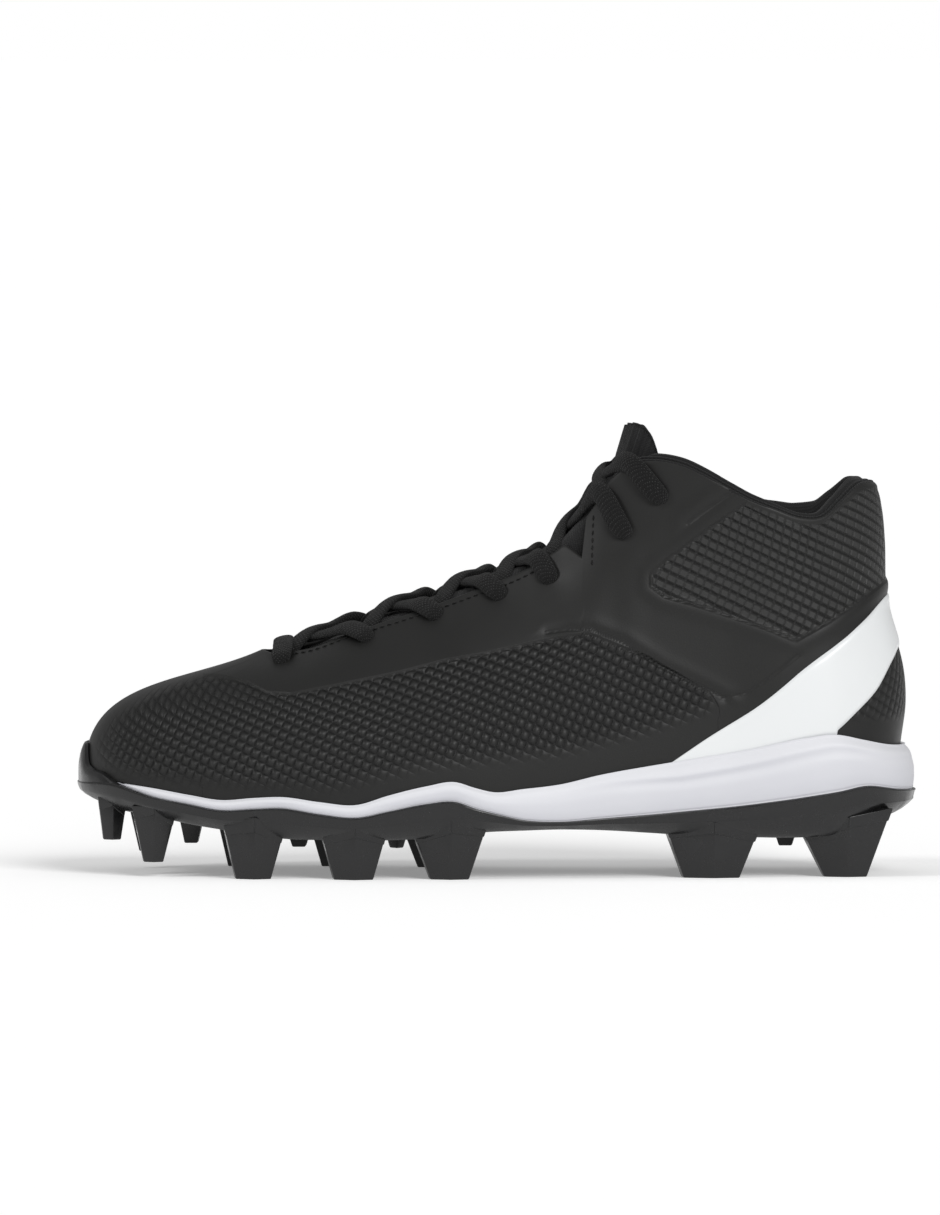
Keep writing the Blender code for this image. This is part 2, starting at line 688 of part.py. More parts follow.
def make_heel_band(parts):
    """The film band that climbs from the midsole and wraps the heel."""
    top = [find_on_side(*row) for row in BAND_TOP]
    foot = [find_on_side(*row) for row in BAND_FOOT]
    top_ways = [w for w, _ in top] + [1.0]
    top_heights = [r for _, r in BAND_TOP] + [BAND_TOP_AT_HEEL]
    foot_ways = [w for w, _ in foot] + [1.0]
    foot_heights = [r for _, r in BAND_FOOT] + [BAND_FOOT_AT_HEEL]
    side = np.linspace(top_ways[0] + 0.01, 1.0, BAND_STEPS)
    ways = np.concatenate([side, 2 - side[-2::-1]])
    way = one_side(ways)
    high = STUD_HEIGHT + COLLAR_HEIGHT * smooth(top_ways, top_heights, way)
    rim = level(RIM, foot_x(ways)) + GAP * 2
    low = STUD_HEIGHT + COLLAR_HEIGHT * smooth(foot_ways, foot_heights, np.maximum(way, foot_ways[0]))
    low = np.maximum(rim, np.where(way < foot_ways[0], 0, low))
    high = np.maximum(high, low + GAP)
    ups = np.array([up_at_height(ways, low + (high - low) * s) for s in (0, 0.33, 0.67, 1)])
    face = above_upper(ways, ups, np.full(ups.shape, GAP + BAND_THICK))
    return shell("heel_band", face, BAND_THICK, False, "white_film", parts)


def tongue(way, across):
    """The tongue's outer face: under the throat's edges, and bulging between them."""
    way, across = np.broadcast_arrays(np.asarray(way, float), np.asarray(across, float))
    under = -(UPPER_WALL + TONGUE_GAP)
    knots, points = [], []
    for place, up in TONGUE_SHEET:
        side = way if place < 0 else 2 - way
        knots.append(place)
        points.append(above_upper(side, np.full(way.shape, up), np.full(way.shape, under)))
    left, right = topline(way), topline(2 - way)
    ahead = topline(way + 4e-3) - topline(way - 4e-3)
    ahead[..., 1] = 0
    ahead /= np.linalg.norm(ahead, axis=-1, keepdims=True)
    rise = np.stack([-ahead[..., 2], 0 * way, ahead[..., 0]], -1)
    share = smooth(column(TONGUE_BULGE, 0), column(TONGUE_BULGE, 1), way)
    bulge = share * (right[..., 1] - left[..., 1]) / 2 + under
    knots.insert(3, 0.0)
    points.insert(3, (left + right) / 2 + rise * bulge[..., None])
    sheet = np.moveaxis(np.array(points), 0, -1)
    found = np.empty(way.shape + (3,))
    for place in np.ndindex(way.shape):
        for axis in range(3):
            found[place + (axis,)] = smooth(knots, sheet[place + (axis,)], across[place])
    return found


def tongue_top(across):
    """The curve of the tongue's top edge."""
    share, half, sweep, drop = TONGUE_TOP
    return np.stack([
        at_along(share + sweep * across ** 2),
        COLLAR_WIDTH * half * across,
        STUD_HEIGHT + COLLAR_HEIGHT * (TONGUE_TOP_RISE - drop * across ** 4),
    ], -1)


def make_tongue(parts):
    ways = loop_ways(LOOP_STEPS)
    ways = ways[(ways > TONGUE_START) & (ways < THROAT_END)]
    across = np.linspace(-1, 1, TONGUE_STEPS)
    face = [tongue(np.full(across.shape, way), across) for way in ways]
    last, top = face.pop(), tongue_top(across)
    thick = [1.0] * len(face)
    for share, thin in TONGUE_END:
        face.append(last + (top - last) * share)
        thick.append(thin)
    face = np.array(face)
    down = np.gradient(face, axis=0)
    side = np.gradient(face, axis=1)
    normal = np.cross(side, down)
    normal /= np.linalg.norm(normal, axis=-1, keepdims=True)
    back = face + normal * (TONGUE_THICK * np.array(thick))[:, None, None]
    return slab("tongue", face, back, "black_knit", parts)


def make_collar_pad(parts):
    ways = loop_ways(LOOP_STEPS)
    ways = ways[(ways > PAD_START) & (ways < 2 - PAD_START)]
    face, back = [], []
    for up, share in PAD_SHEET:
        ups = np.full(ways.shape, up)
        seat = -(UPPER_WALL + GAP)
        face.append(above_upper(ways, ups, np.full(ways.shape, seat)))
        back.append(above_upper(ways, ups, np.full(ways.shape, seat - PAD_THICK * share)))
    return slab("collar_pad", np.array(face), np.array(back), "black_knit", parts)


def lace_ribbon(name, path, normals, parts):
    """A flat lace along a path, its thickness along the normals."""
    path, normals = np.array(path), np.array(normals)
    ahead = np.gradient(path, axis=0)
    ahead /= np.linalg.norm(ahead, axis=-1, keepdims=True)
    side = np.cross(ahead, normals)
    side /= np.linalg.norm(side, axis=-1, keepdims=True)
    up = np.cross(side, ahead)
    points = []
    for place in range(len(path)):
        for across, thick in LACE_SECTION:
            points.append(
                path[place]
                + side[place] * across * LACE_WIDTH / 2
                + up[place] * thick * LACE_THICK / 2
            )
    count = len(LACE_SECTION)
    faces = grid_faces(len(path), count, True)
    faces.append(tuple(range(count - 1, -1, -1)))
    faces.append(tuple(range((len(path) - 1) * count, len(path) * count)))
    return make_object(name, points, faces, "black_lace", parts)


def over_edge(way, up, lift):
    """A lace's place and its normal, lying on the upper."""
    normal = upper_normal(way, np.array(up))
    return upper(way, up) + normal * (lift + LACE_THICK / 2), normal


def on_tongue(way, across, lift):
    step = 1e-2
    place = tongue(way, across)
    normal = np.cross(
        tongue(way, across + step) - tongue(way, across - step),
        tongue(way + step, across) - tongue(way - step, across),
    )
    normal = normal / np.linalg.norm(normal)
    normal = normal if normal[2] > 0 else -normal
    return place + normal * (lift + LACE_THICK / 2), normal


def lace_across(name, start, end, side, group):
    """One lace from the throat beside an eyelet to the next eyelet across, passing over its twin."""
    (_, _, low), (high_way, high_up, high) = start, end
    step = high - low
    other = (lambda way: 2 - way) if side < 0 else (lambda way: way)
    over = LACE_THICK * LACE_PASS if side < 0 else 0
    stops = [
        on_tongue(low + step * 0.22, 0.40 * side, GAP),
        on_tongue(low + step * 0.36, 0.20 * side, GAP + over / 2),
        on_tongue(low + step * 0.50, 0.00, GAP + over),
        on_tongue(low + step * 0.72, -0.26 * side, GAP * 3 + over / 2),
        over_edge(other(low + step * 0.92), 1.0, GAP * 2),
        over_edge(other((high + high_way) / 2), (1 + high_up) / 2, GAP * 2),
        over_edge(other(high_way), high_up, GAP * 2),
    ]
    return lace_ribbon(name, [s[0] for s in stops], [s[1] for s in stops], group)


def make_laces(parts, cutters):
    holes = [find_on_side(share, rise) + (cross,) for share, rise, cross in EYELETS]
    way, up, cross = holes[0]
    half = [over_edge(way, up, GAP * 2), over_edge(cross, (1 + up) / 2, GAP * 2)]
    half += [over_edge(cross, 1.0, GAP * 2)]
    bar = half + [on_tongue(cross, 0.0, GAP * 4)]
    bar += [over_edge(2 - cross, 1.0, GAP * 2), over_edge(2 - cross, (1 + up) / 2, GAP * 2)]
    bar += [over_edge(2 - way, up, GAP * 2)]
    lace_ribbon("lace_bar", [s[0] for s in bar], [s[1] for s in bar], parts)
    for number in range(len(holes) - 1):
        pair = holes[number], holes[number + 1]
        cross = lace_across(f"lace_cross_{number + 1}", *pair, -1, parts)
        under = lace_across(f"lace_under_{number + 1}", *pair, 1, cutters)
        boolean(cross, under, "UNION")


def main():
    for old in list(bpy.data.objects):
        bpy.data.objects.remove(old)
    parts = bpy.data.collections.new("football_cleat")
    cutters = bpy.data.collections.new("cutters")
    for group in (parts, cutters):
        bpy.context.scene.collection.children.link(group)
    make_outsole(parts, cutters)
    make_midsole(parts)
    make_upper(parts, cutters)
    make_insole(parts)
    make_heel_band(parts)
    make_collar_pad(parts)
    make_tongue(parts)
    make_laces(parts, cutters)


main()
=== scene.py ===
# %% [markdown]
# A mid-cut american football cleat for the left foot, standing empty on its studs.
# The solids of the part are the frame: they give every place and size. This lesson dresses them
# piece by piece with finer meshes and with materials made of nodes, so that the render has the
# embossed skin, the knit collar, the woven lace, the film band, the foam and the moulded plate.

import bpy
import bmesh
import numpy as np
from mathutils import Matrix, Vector


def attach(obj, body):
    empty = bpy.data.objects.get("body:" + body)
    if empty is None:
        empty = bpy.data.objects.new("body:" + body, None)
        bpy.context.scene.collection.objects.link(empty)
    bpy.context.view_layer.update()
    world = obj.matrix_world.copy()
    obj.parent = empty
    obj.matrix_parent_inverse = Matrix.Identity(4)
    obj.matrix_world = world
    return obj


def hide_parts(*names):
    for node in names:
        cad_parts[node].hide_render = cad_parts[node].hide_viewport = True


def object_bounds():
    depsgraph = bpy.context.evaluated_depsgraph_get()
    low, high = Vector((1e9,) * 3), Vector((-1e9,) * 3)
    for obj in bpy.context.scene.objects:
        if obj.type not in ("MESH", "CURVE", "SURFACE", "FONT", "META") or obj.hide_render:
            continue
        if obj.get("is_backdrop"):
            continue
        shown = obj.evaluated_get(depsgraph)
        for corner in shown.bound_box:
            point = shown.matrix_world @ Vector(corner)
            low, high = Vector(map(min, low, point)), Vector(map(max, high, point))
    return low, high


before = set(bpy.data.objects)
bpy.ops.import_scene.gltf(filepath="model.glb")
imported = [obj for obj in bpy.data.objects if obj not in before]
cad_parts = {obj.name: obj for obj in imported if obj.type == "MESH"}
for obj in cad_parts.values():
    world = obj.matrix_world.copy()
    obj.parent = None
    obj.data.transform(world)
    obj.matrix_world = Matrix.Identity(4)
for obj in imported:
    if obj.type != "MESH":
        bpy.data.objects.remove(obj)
solids_box = [list(map(float, corner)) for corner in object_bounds()]
print("solids from", np.round(solids_box[0], 4), "to", np.round(solids_box[1], 4))

# %% [markdown]
# The photograph was taken almost level with the ground, and lines hardly come together in it, so
# a long lens 6 m away gives the same look. The camera could look straight at the shoe from the
# side, but a little of the ground shows behind the studs while the far side of the collar stays
# hidden, so it looks down by under three degrees.

# %% Camera
CAMERA_TILT = np.radians(2.5)
CAMERA_FAR = 6.0
AIM = Vector((-0.0092, -0.045, 0.0961))
VIEW_HEIGHT = 0.4278

camera_data = bpy.data.cameras.new("camera")
camera_data.sensor_fit = "VERTICAL"
camera_data.sensor_height = 36
camera_data.lens = 36 * CAMERA_FAR / VIEW_HEIGHT
camera_data.clip_end = 50
camera = bpy.data.objects.new("camera", camera_data)
camera.location = AIM + CAMERA_FAR * Vector((0, -np.cos(CAMERA_TILT), np.sin(CAMERA_TILT)))
camera.rotation_euler = (AIM - camera.location).to_track_quat("-Z", "Y").to_euler()
bpy.context.scene.collection.objects.link(camera)
bpy.context.scene.camera = camera
print("lens", round(camera_data.lens, 1), "mm")

# %% [markdown]
# The background is pure white, with a soft grey shadow under the shoe. The floor is one wide
# white sheet that also glows a little, so that it stays white to its far edge, and the world
# behind it is white where the camera sees it. A curved backdrop would do the same from the
# front, but would stand in the way of the other views.

# %% White floor
FLOOR_REACH = 25.0
floor_mesh = bpy.data.meshes.new("floor")
corners = [(-1, -1), (1, -1), (1, 1), (-1, 1)]
floor_mesh.from_pydata([(x * FLOOR_REACH, y * FLOOR_REACH, 0) for x, y in corners], [], [(0, 1, 2, 3)])
floor = bpy.data.objects.new("floor", floor_mesh)
bpy.context.scene.collection.objects.link(floor)
floor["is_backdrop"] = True
print("floor", 2 * FLOOR_REACH, "m wide")

# %% [markdown]
# Light comes from all round, as in a white tent, so shadows are faint and black skin still
# reads. A broad light from the front and above brightens the side and draws the shadow behind and
# left of the toe. A smaller one from the upper left puts a fleck on the left of every
# embossed lozenge. Suns are used because their light is the same at every place, and their
# angle sets how soft a shadow is.

# %% Lights
def broad_sun(name, comes_from, spread_angle, strength):
    lamp = bpy.data.lights.new(name, "SUN")
    lamp.angle = np.radians(spread_angle)
    lamp.energy = strength
    made = bpy.data.objects.new(name, lamp)
    made.rotation_euler = Vector(comes_from).to_track_quat("Z", "Y").to_euler()
    bpy.context.scene.collection.objects.link(made)
    return made


broad_sun("sun_front", (0.55, -1.10, 0.80), 30, 1.95)
broad_sun("sun_upper_left", (-0.80, -0.40, 0.65), 12, 0.75)

world = bpy.data.worlds.new("studio")
world.use_nodes = True
sky = world.node_tree
sky.nodes["Background"].inputs["Strength"].default_value = 0.36
seen = sky.nodes.new("ShaderNodeBackground")
seen.inputs["Color"].default_value = (1, 1, 1, 1)
sky.nodes["Background"].inputs["Color"].default_value = (1, 1, 1, 1)
choice = sky.nodes.new("ShaderNodeMixShader")
path = sky.nodes.new("ShaderNodeLightPath")
sky.links.new(path.outputs["Is Camera Ray"], choice.inputs[0])
sky.links.new(sky.nodes["Background"].outputs[0], choice.inputs[1])
sky.links.new(seen.outputs[0], choice.inputs[2])
sky.links.new(choice.outputs[0], sky.nodes["World Output"].inputs["Surface"])
bpy.context.scene.world = world
bpy.context.scene.view_settings.view_transform = "Standard"
print("world", world.name, "with", len(bpy.data.lights), "suns")

# %% [markdown]
# The shoe's form is built on a last, as in the workshop. The sizes and tables below are those of
# the part itself. A station round the foot, called way, runs from 0 at the toe to 1 at the heel
# on the outer side, and on to 2 back at the toe. A share called along runs from 0 at the toe to 1
# at the heel. Tables of shares keep every piece on the same form when a size changes.

# %% Sizes of the shoe, in metres
LENGTH = 0.297
BALL_WIDTH = 0.098
HEEL_WIDTH = 0.066
COLLAR_WIDTH = 0.069
COLLAR_HEIGHT = 0.133
STUD_HEIGHT = 0.014
SOLE_DEPTH = 0.0373
HEEL_FLARE = 0.0056
THROAT_SHIFT = 0.003
UPPER_WALL = 0.0022
GAP = 0.0004
MM = 0.001
WAIST_START, WAIST_END = 0.40, 0.75
THROAT_END = 0.665
RIM_START = 0.12
CORE_INSET = 0.0065
print("length", LENGTH / MM, "mm, collar", (STUD_HEIGHT + COLLAR_HEIGHT) / MM, "mm high")

# %% The last's edges and ribs
# way, along, then y on each side as a share of the width there
FOOT_EDGE = [
    (0.00, 0.0088, 0.061, 0.061),
    (0.05, 0.0168, -0.097, 0.214),
    (0.10, 0.0421, -0.219, 0.332),
    (0.15, 0.0842, -0.316, 0.408),
    (0.20, 0.1347, -0.378, 0.454),
    (0.27, 0.2088, -0.434, 0.485),
    (0.34, 0.2896, -0.478, 0.497),
    (0.41, 0.3704, -0.497, 0.461),
    (0.48, 0.4512, -0.491, 0.411),
    (0.55, 0.5320, -0.493, 0.393),
    (0.62, 0.6128, -0.507, 0.410),
    (0.69, 0.6936, -0.528, 0.455),
    (0.76, 0.7744, -0.515, 0.492),
    (0.83, 0.8552, -0.500, 0.500),
    (0.89, 0.9158, -0.447, 0.447),
    (0.94, 0.9562, -0.326, 0.326),
    (0.97, 0.9731, -0.189, 0.189),
    (1.00, 0.9808, 0.000, 0.000),
]
# way, along, half width as a share of the collar's width, rise as a share of its height
TOPLINE = [
    (0.00, 0.2229, 0.000, 0.493),
    (0.05, 0.2242, 0.038, 0.492),
    (0.10, 0.2283, 0.072, 0.490),
    (0.15, 0.2343, 0.104, 0.489),
    (0.20, 0.2475, 0.138, 0.493),
    (0.27, 0.2828, 0.181, 0.508),
    (0.34, 0.3300, 0.210, 0.551),
    (0.41, 0.4097, 0.239, 0.611),
    (0.48, 0.4811, 0.261, 0.669),
    (0.55, 0.5461, 0.283, 0.729),
    (0.585, 0.5820, 0.297, 0.782),
    (0.62, 0.6140, 0.319, 0.872),
    (0.65, 0.6410, 0.348, 0.950),
    (0.665, 0.6600, 0.377, 0.976),
    (0.69, 0.6835, 0.413, 0.980),
    (0.72, 0.7160, 0.449, 0.966),
    (0.75, 0.7460, 0.478, 0.932),
    (0.78, 0.7765, 0.493, 0.889),
    (0.81, 0.8030, 0.498, 0.855),
    (0.84, 0.8316, 0.493, 0.833),
    (0.87, 0.8620, 0.464, 0.822),
    (0.90, 0.8900, 0.410, 0.830),
    (0.925, 0.9100, 0.333, 0.862),
    (0.95, 0.9325, 0.232, 0.900),
    (0.975, 0.9480, 0.123, 0.914),
    (1.00, 0.9540, 0.000, 0.916),
]
# way, wall handle out and up, crown handle out and down, as shares
LAST_CURVE = [
    (0.00, 0.014, 0.263, 0.276, 0.098),
    (0.10, 0.020, 0.248, 0.255, 0.083),
    (0.20, 0.036, 0.233, 0.194, 0.064),
    (0.27, 0.041, 0.241, 0.173, 0.060),
    (0.34, 0.041, 0.256, 0.173, 0.083),
    (0.41, 0.031, 0.271, 0.173, 0.120),
    (0.48, 0.031, 0.286, 0.163, 0.150),
    (0.55, 0.031, 0.286, 0.153, 0.195),
    (0.62, 0.026, 0.300, 0.102, 0.271),
    (0.69, 0.020, 0.286, 0.020, 0.316),
    (0.76, 0.020, 0.286, -0.031, 0.286),
    (0.83, 0.026, 0.271, -0.041, 0.256),
    (0.90, 0.031, 0.248, -0.031, 0.226),
    (1.00, 0.038, 0.244, 0.020, 0.241),
]
print(len(FOOT_EDGE), "stations on the foot's edge,", len(TOPLINE), "on the topline")

# %% The sole's levels
# along, then rim, joint at the side, joint inside, footbed and plate, as shares of the sole's depth
SOLE_LEVELS = [
    (0.000, 0.552, 0.499, 0.430, 0.547, 0.350),
    (0.055, 0.515, 0.501, 0.389, 0.509, 0.236),
    (0.070, 0.501, 0.461, 0.362, 0.477, 0.220),
    (0.086, 0.485, 0.418, 0.338, 0.445, 0.204),
    (0.137, 0.418, 0.335, 0.284, 0.381, 0.129),
    (0.173, 0.375, 0.282, 0.252, 0.346, 0.086),
    (0.214, 0.399, 0.298, 0.241, 0.335, 0.043),
    (0.247, 0.410, 0.308, 0.233, 0.327, 0.008),
    (0.291, 0.365, 0.252, 0.220, 0.314, 0.000),
    (0.335, 0.340, 0.220, 0.206, 0.303, 0.000),
    (0.372, 0.429, 0.282, 0.206, 0.311, 0.000),
    (0.417, 0.517, 0.354, 0.214, 0.338, 0.016),
    (0.451, 0.555, 0.373, 0.223, 0.365, 0.043),
    (0.474, 0.499, 0.308, 0.223, 0.381, 0.064),
    (0.497, 0.456, 0.257, 0.220, 0.394, 0.075),
    (0.531, 0.483, 0.193, 0.199, 0.413, 0.083),
    (0.576, 0.525, 0.174, 0.185, 0.437, 0.091),
    (0.622, 0.609, 0.201, 0.195, 0.466, 0.083),
    (0.683, 0.694, 0.239, 0.200, 0.520, 0.054),
    (0.723, 0.745, 0.268, 0.190, 0.558, 0.032),
    (0.798, 0.842, 0.327, 0.180, 0.627, 0.011),
    (0.873, 0.960, 0.410, 0.180, 0.681, 0.011),
    (0.900, 0.984, 0.445, 0.195, 0.694, 0.027),
    (0.936, 0.925, 0.500, 0.260, 0.708, 0.107),
    (0.961, 0.875, 0.461, 0.330, 0.713, 0.174),
    (1.000, 0.853, 0.416, 0.420, 0.718, 0.268),
]
RIM, JOINT, CORE, BED, PLATE = 1, 2, 3, 4, 5
# way, how far midsole and outsole stand out past the upper, as shares of the heel's flare
SOLE_EDGE = [
    (0.00, -0.18, 0.43),
    (0.10, -0.18, 0.43),
    (0.12, 0.10, 0.43),
    (0.14, 0.22, 0.43),
    (0.17, 0.36, 0.46),
    (0.20, 0.41, 0.50),
    (0.34, 0.39, 0.48),
    (0.48, 0.45, 0.54),
    (0.60, 0.57, 0.64),
    (0.70, 0.75, 0.80),
    (0.83, 0.95, 1.00),
    (1.00, 1.00, 1.00),
]
print("heel rim", round(1000 * (STUD_HEIGHT + SOLE_DEPTH * 0.984), 1), "mm above the ground")

# %% Curves through the tables
def smooth(knots, values, where):
    """A curve through values at the knots, read at where, with no corner at a knot."""
    knots, values = np.asarray(knots, float), np.asarray(values, float)
    step = np.diff(knots)
    rise = np.diff(values) / step
    slope = np.empty_like(values)
    slope[1:-1] = (rise[:-1] * step[1:] + rise[1:] * step[:-1]) / (step[:-1] + step[1:])
    slope[0], slope[-1] = rise[0], rise[-1]
    where = np.asarray(where, float)
    i = np.clip(np.searchsorted(knots, where, side="right") - 1, 0, len(step) - 1)
    t = (where - knots[i]) / step[i]
    return (
        values[i] * (1 + 2 * t) * (1 - t) ** 2
        + step[i] * slope[i] * t * (1 - t) ** 2
        + values[i + 1] * t ** 2 * (3 - 2 * t)
        - step[i] * slope[i + 1] * t ** 2 * (1 - t)
    )


def column(table, number):
    return np.array([row[number] for row in table], float)


def round_foot(ways, outer, inner):
    """A value known on the outer and the inner side, as a closed curve of the way round."""
    knots = np.concatenate([ways, 2 - ways[-2:0:-1]])
    values = np.concatenate([outer, inner[-2:0:-1]])
    knots = np.concatenate([knots[-3:] - 2, knots, knots[:3] + 2])
    values = np.concatenate([values[-3:], values, values[:3]])
    return lambda way: smooth(knots, values, np.mod(way, 2))


def one_side(way):
    way = np.mod(way, 2)
    return np.minimum(way, 2 - way)


def at_along(share):
    return LENGTH * (share - 0.5)


def share_of(x):
    return np.clip(x / LENGTH + 0.5, 0, 1)


def width_at(share):
    t = np.clip((share - WAIST_START) / (WAIST_END - WAIST_START), 0, 1)
    return BALL_WIDTH + (HEEL_WIDTH - BALL_WIDTH) * t * t * (3 - 2 * t)


def level(number, x):
    table = column(SOLE_LEVELS, number)
    return STUD_HEIGHT + SOLE_DEPTH * smooth(column(SOLE_LEVELS, 0), table, share_of(x))


foot_ways = column(FOOT_EDGE, 0)
foot_widths = width_at(column(FOOT_EDGE, 1))
foot_x = round_foot(foot_ways, at_along(column(FOOT_EDGE, 1)), at_along(column(FOOT_EDGE, 1)))
foot_y = round_foot(
    foot_ways, column(FOOT_EDGE, 2) * foot_widths, column(FOOT_EDGE, 3) * foot_widths
)
top_ways = column(TOPLINE, 0)
top_shift = THROAT_SHIFT * (1 - np.clip(top_ways / THROAT_END, 0, 1))
top_x = round_foot(top_ways, at_along(column(TOPLINE, 1)), at_along(column(TOPLINE, 1)))
top_y = round_foot(
    top_ways,
    top_shift - COLLAR_WIDTH * column(TOPLINE, 2),
    top_shift + COLLAR_WIDTH * column(TOPLINE, 2),
)
top_z = round_foot(top_ways, column(TOPLINE, 3), column(TOPLINE, 3))
curve_ways = column(LAST_CURVE, 0)
bends = [round_foot(curve_ways, column(LAST_CURVE, k), column(LAST_CURVE, k)) for k in (1, 2, 3, 4)]
print("widest at the ball", round(1000 * float(foot_y(1.66) - foot_y(0.34)), 1), "mm")

# %% The last's surface
def outward(curve_x, curve_y, way):
    """The plan direction that faces out of a closed curve."""
    dx = curve_x(way + 1e-3) - curve_x(way - 1e-3)
    dy = curve_y(way + 1e-3) - curve_y(way - 1e-3)
    long = np.hypot(dx, dy)
    return np.stack([dy / long, -dx / long], -1)


def foot_edge(way):
    x = foot_x(way)
    return np.stack([x, foot_y(way), level(BED, x) + GAP], -1)


# The solids' wall ends below the collar's knit rim. Here the skin goes on up to the rim's joint:
# way, and how much higher as a share of the collar's height.
RIM_LIFT = [
    (0.00, 0.000), (0.58, 0.000), (0.62, 0.004), (0.65, 0.015), (0.69, 0.028), (0.72, 0.032),
    (0.75, 0.037),
    (0.78, 0.042), (0.81, 0.045), (0.84, 0.042), (0.87, 0.029), (0.90, 0.023), (0.925, 0.028),
    (0.95, 0.033),
    (0.975, 0.028), (1.00, 0.026),
]


def ease(value, low, high):
    """0 below low, 1 above high, with a soft turn between."""
    t = np.clip((value - low) / (high - low), 0, 1)
    return t * t * (3 - 2 * t)


# The inner side's rim is a little lower by the tongue and fuller beside the heel
FAR_RIM = [
    (0.00, 0.000), (0.60, 0.000), (0.65, -0.010), (0.70, -0.013), (0.76, -0.015), (0.80, -0.020),
    (0.83, -0.014),
    (0.86, 0.004), (0.89, 0.017), (0.92, 0.009), (0.95, 0.000), (1.00, 0.000),
]
# Up the heel's rib, how far its padding stands out behind the last, in metres
HEEL_CURVE = [
    (0.00, 0.0), (0.08, 0.0005), (0.20, 0.0018), (0.32, 0.0017), (0.43, 0.0002), (0.54, -0.0014),
    (0.65, -0.0001),
    (0.78, 0.0015), (0.90, 0.0018), (0.96, 0.0011), (1.00, -0.0004),
]


def topline(way):
    lift = smooth(column(RIM_LIFT, 0), column(RIM_LIFT, 1), one_side(way))
    lift = lift + np.where(way > 1, smooth(column(FAR_RIM, 0), column(FAR_RIM, 1), one_side(way)), 0)
    return np.stack([top_x(way), top_y(way), STUD_HEIGHT + COLLAR_HEIGHT * (top_z(way) + lift)], -1)


def upper(way, up):
    """The upper's outer surface: up is 0 at the foot's edge and 1 at the topline."""
    way, up = np.broadcast_arrays(np.asarray(way, float), np.asarray(up, float))
    foot, top = foot_edge(way), topline(way)
    wall, crown = foot.copy(), top.copy()
    wall[..., :2] += outward(foot_x, foot_y, way) * (BALL_WIDTH * bends[0](way))[..., None]
    wall[..., 2] += COLLAR_HEIGHT * bends[1](way)
    crown[..., :2] += outward(top_x, top_y, way) * (BALL_WIDTH * bends[2](way))[..., None]
    crown[..., 2] -= COLLAR_HEIGHT * bends[3](way)
    t = up[..., None]
    behind = smooth(column(HEEL_CURVE, 0), column(HEEL_CURVE, 1), up) * ease(one_side(way), 0.90, 0.985)
    return (
        np.stack([behind, 0 * behind, 0 * behind], -1)
        + foot * (1 - t) ** 3
        + 3 * wall * t * (1 - t) ** 2
        + 3 * crown * t * t * (1 - t)
        + top * t ** 3
    )


def upper_normal(way, up):
    step = 2e-3
    round_it = upper(way + step, up) - upper(way - step, up)
    up_it = upper(way, up + step) - upper(way, up - step)
    face = np.cross(round_it, up_it)
    return face / np.linalg.norm(face, axis=-1, keepdims=True)


def above_upper(way, up, lift):
    return upper(way, up) + upper_normal(way, up) * np.asarray(lift)[..., None]


def up_at_height(way, z):
    """The share of the rib at which it reaches a height."""
    way, z = np.broadcast_arrays(np.asarray(way, float), np.asarray(z, float))
    low, high = np.zeros(way.shape), np.ones(way.shape)
    for _ in range(26):
        middle = (low + high) / 2
        below = upper(way, middle)[..., 2] < z
        low, high = np.where(below, middle, low), np.where(below, high, middle)
    return (low + high) / 2


def find_on_side(share, rise):
    """The way and up, on the outer side, of a point given by its place along and its rise."""
    x, z = at_along(share), STUD_HEIGHT + COLLAR_HEIGHT * rise
    low, high = 0.02, 0.995
    for _ in range(40):
        way = (low + high) / 2
        ahead = upper(way, up_at_height(way, z))[0] < x
        low, high = (way, high) if ahead else (low, way)
    return way, float(up_at_height(way, z))


def beside_upper(way, z, out):
    """A point at height z, standing out from the upper's surface in plan."""
    where = upper(way, up_at_height(way, np.maximum(z, foot_edge(way)[..., 2])))
    place = where[..., :2] + outward(foot_x, foot_y, way) * np.asarray(out)[..., None]
    return np.concatenate([place, np.broadcast_to(z, way.shape)[..., None]], -1)


print("throat starts at", np.round(1000 * topline(0.0), 1), "mm")

# %% [markdown]
# Every finish below is made of nodes. A few small helpers keep them readable: one adds a node and
# joins its sockets, one starts a material with its plain values, and an output can be added to,
# multiplied and stretched like a number. Values that are the same all over a surface are set on
# the shader's own sockets.

# %% Node helpers
def add(tree, kind, sockets=(), **settings):
    """A node with its settings, each named socket set to a value or joined to an output."""
    made = tree.nodes.new(kind)
    for name, value in settings.items():
        setattr(made, name, value)
    for socket, value in dict(sockets).items():
        value = value.socket if isinstance(value, Wire) else value
        if isinstance(value, bpy.types.NodeSocket):
            tree.links.new(value, made.inputs[socket])
        else:
            made.inputs[socket].default_value = value
    return made


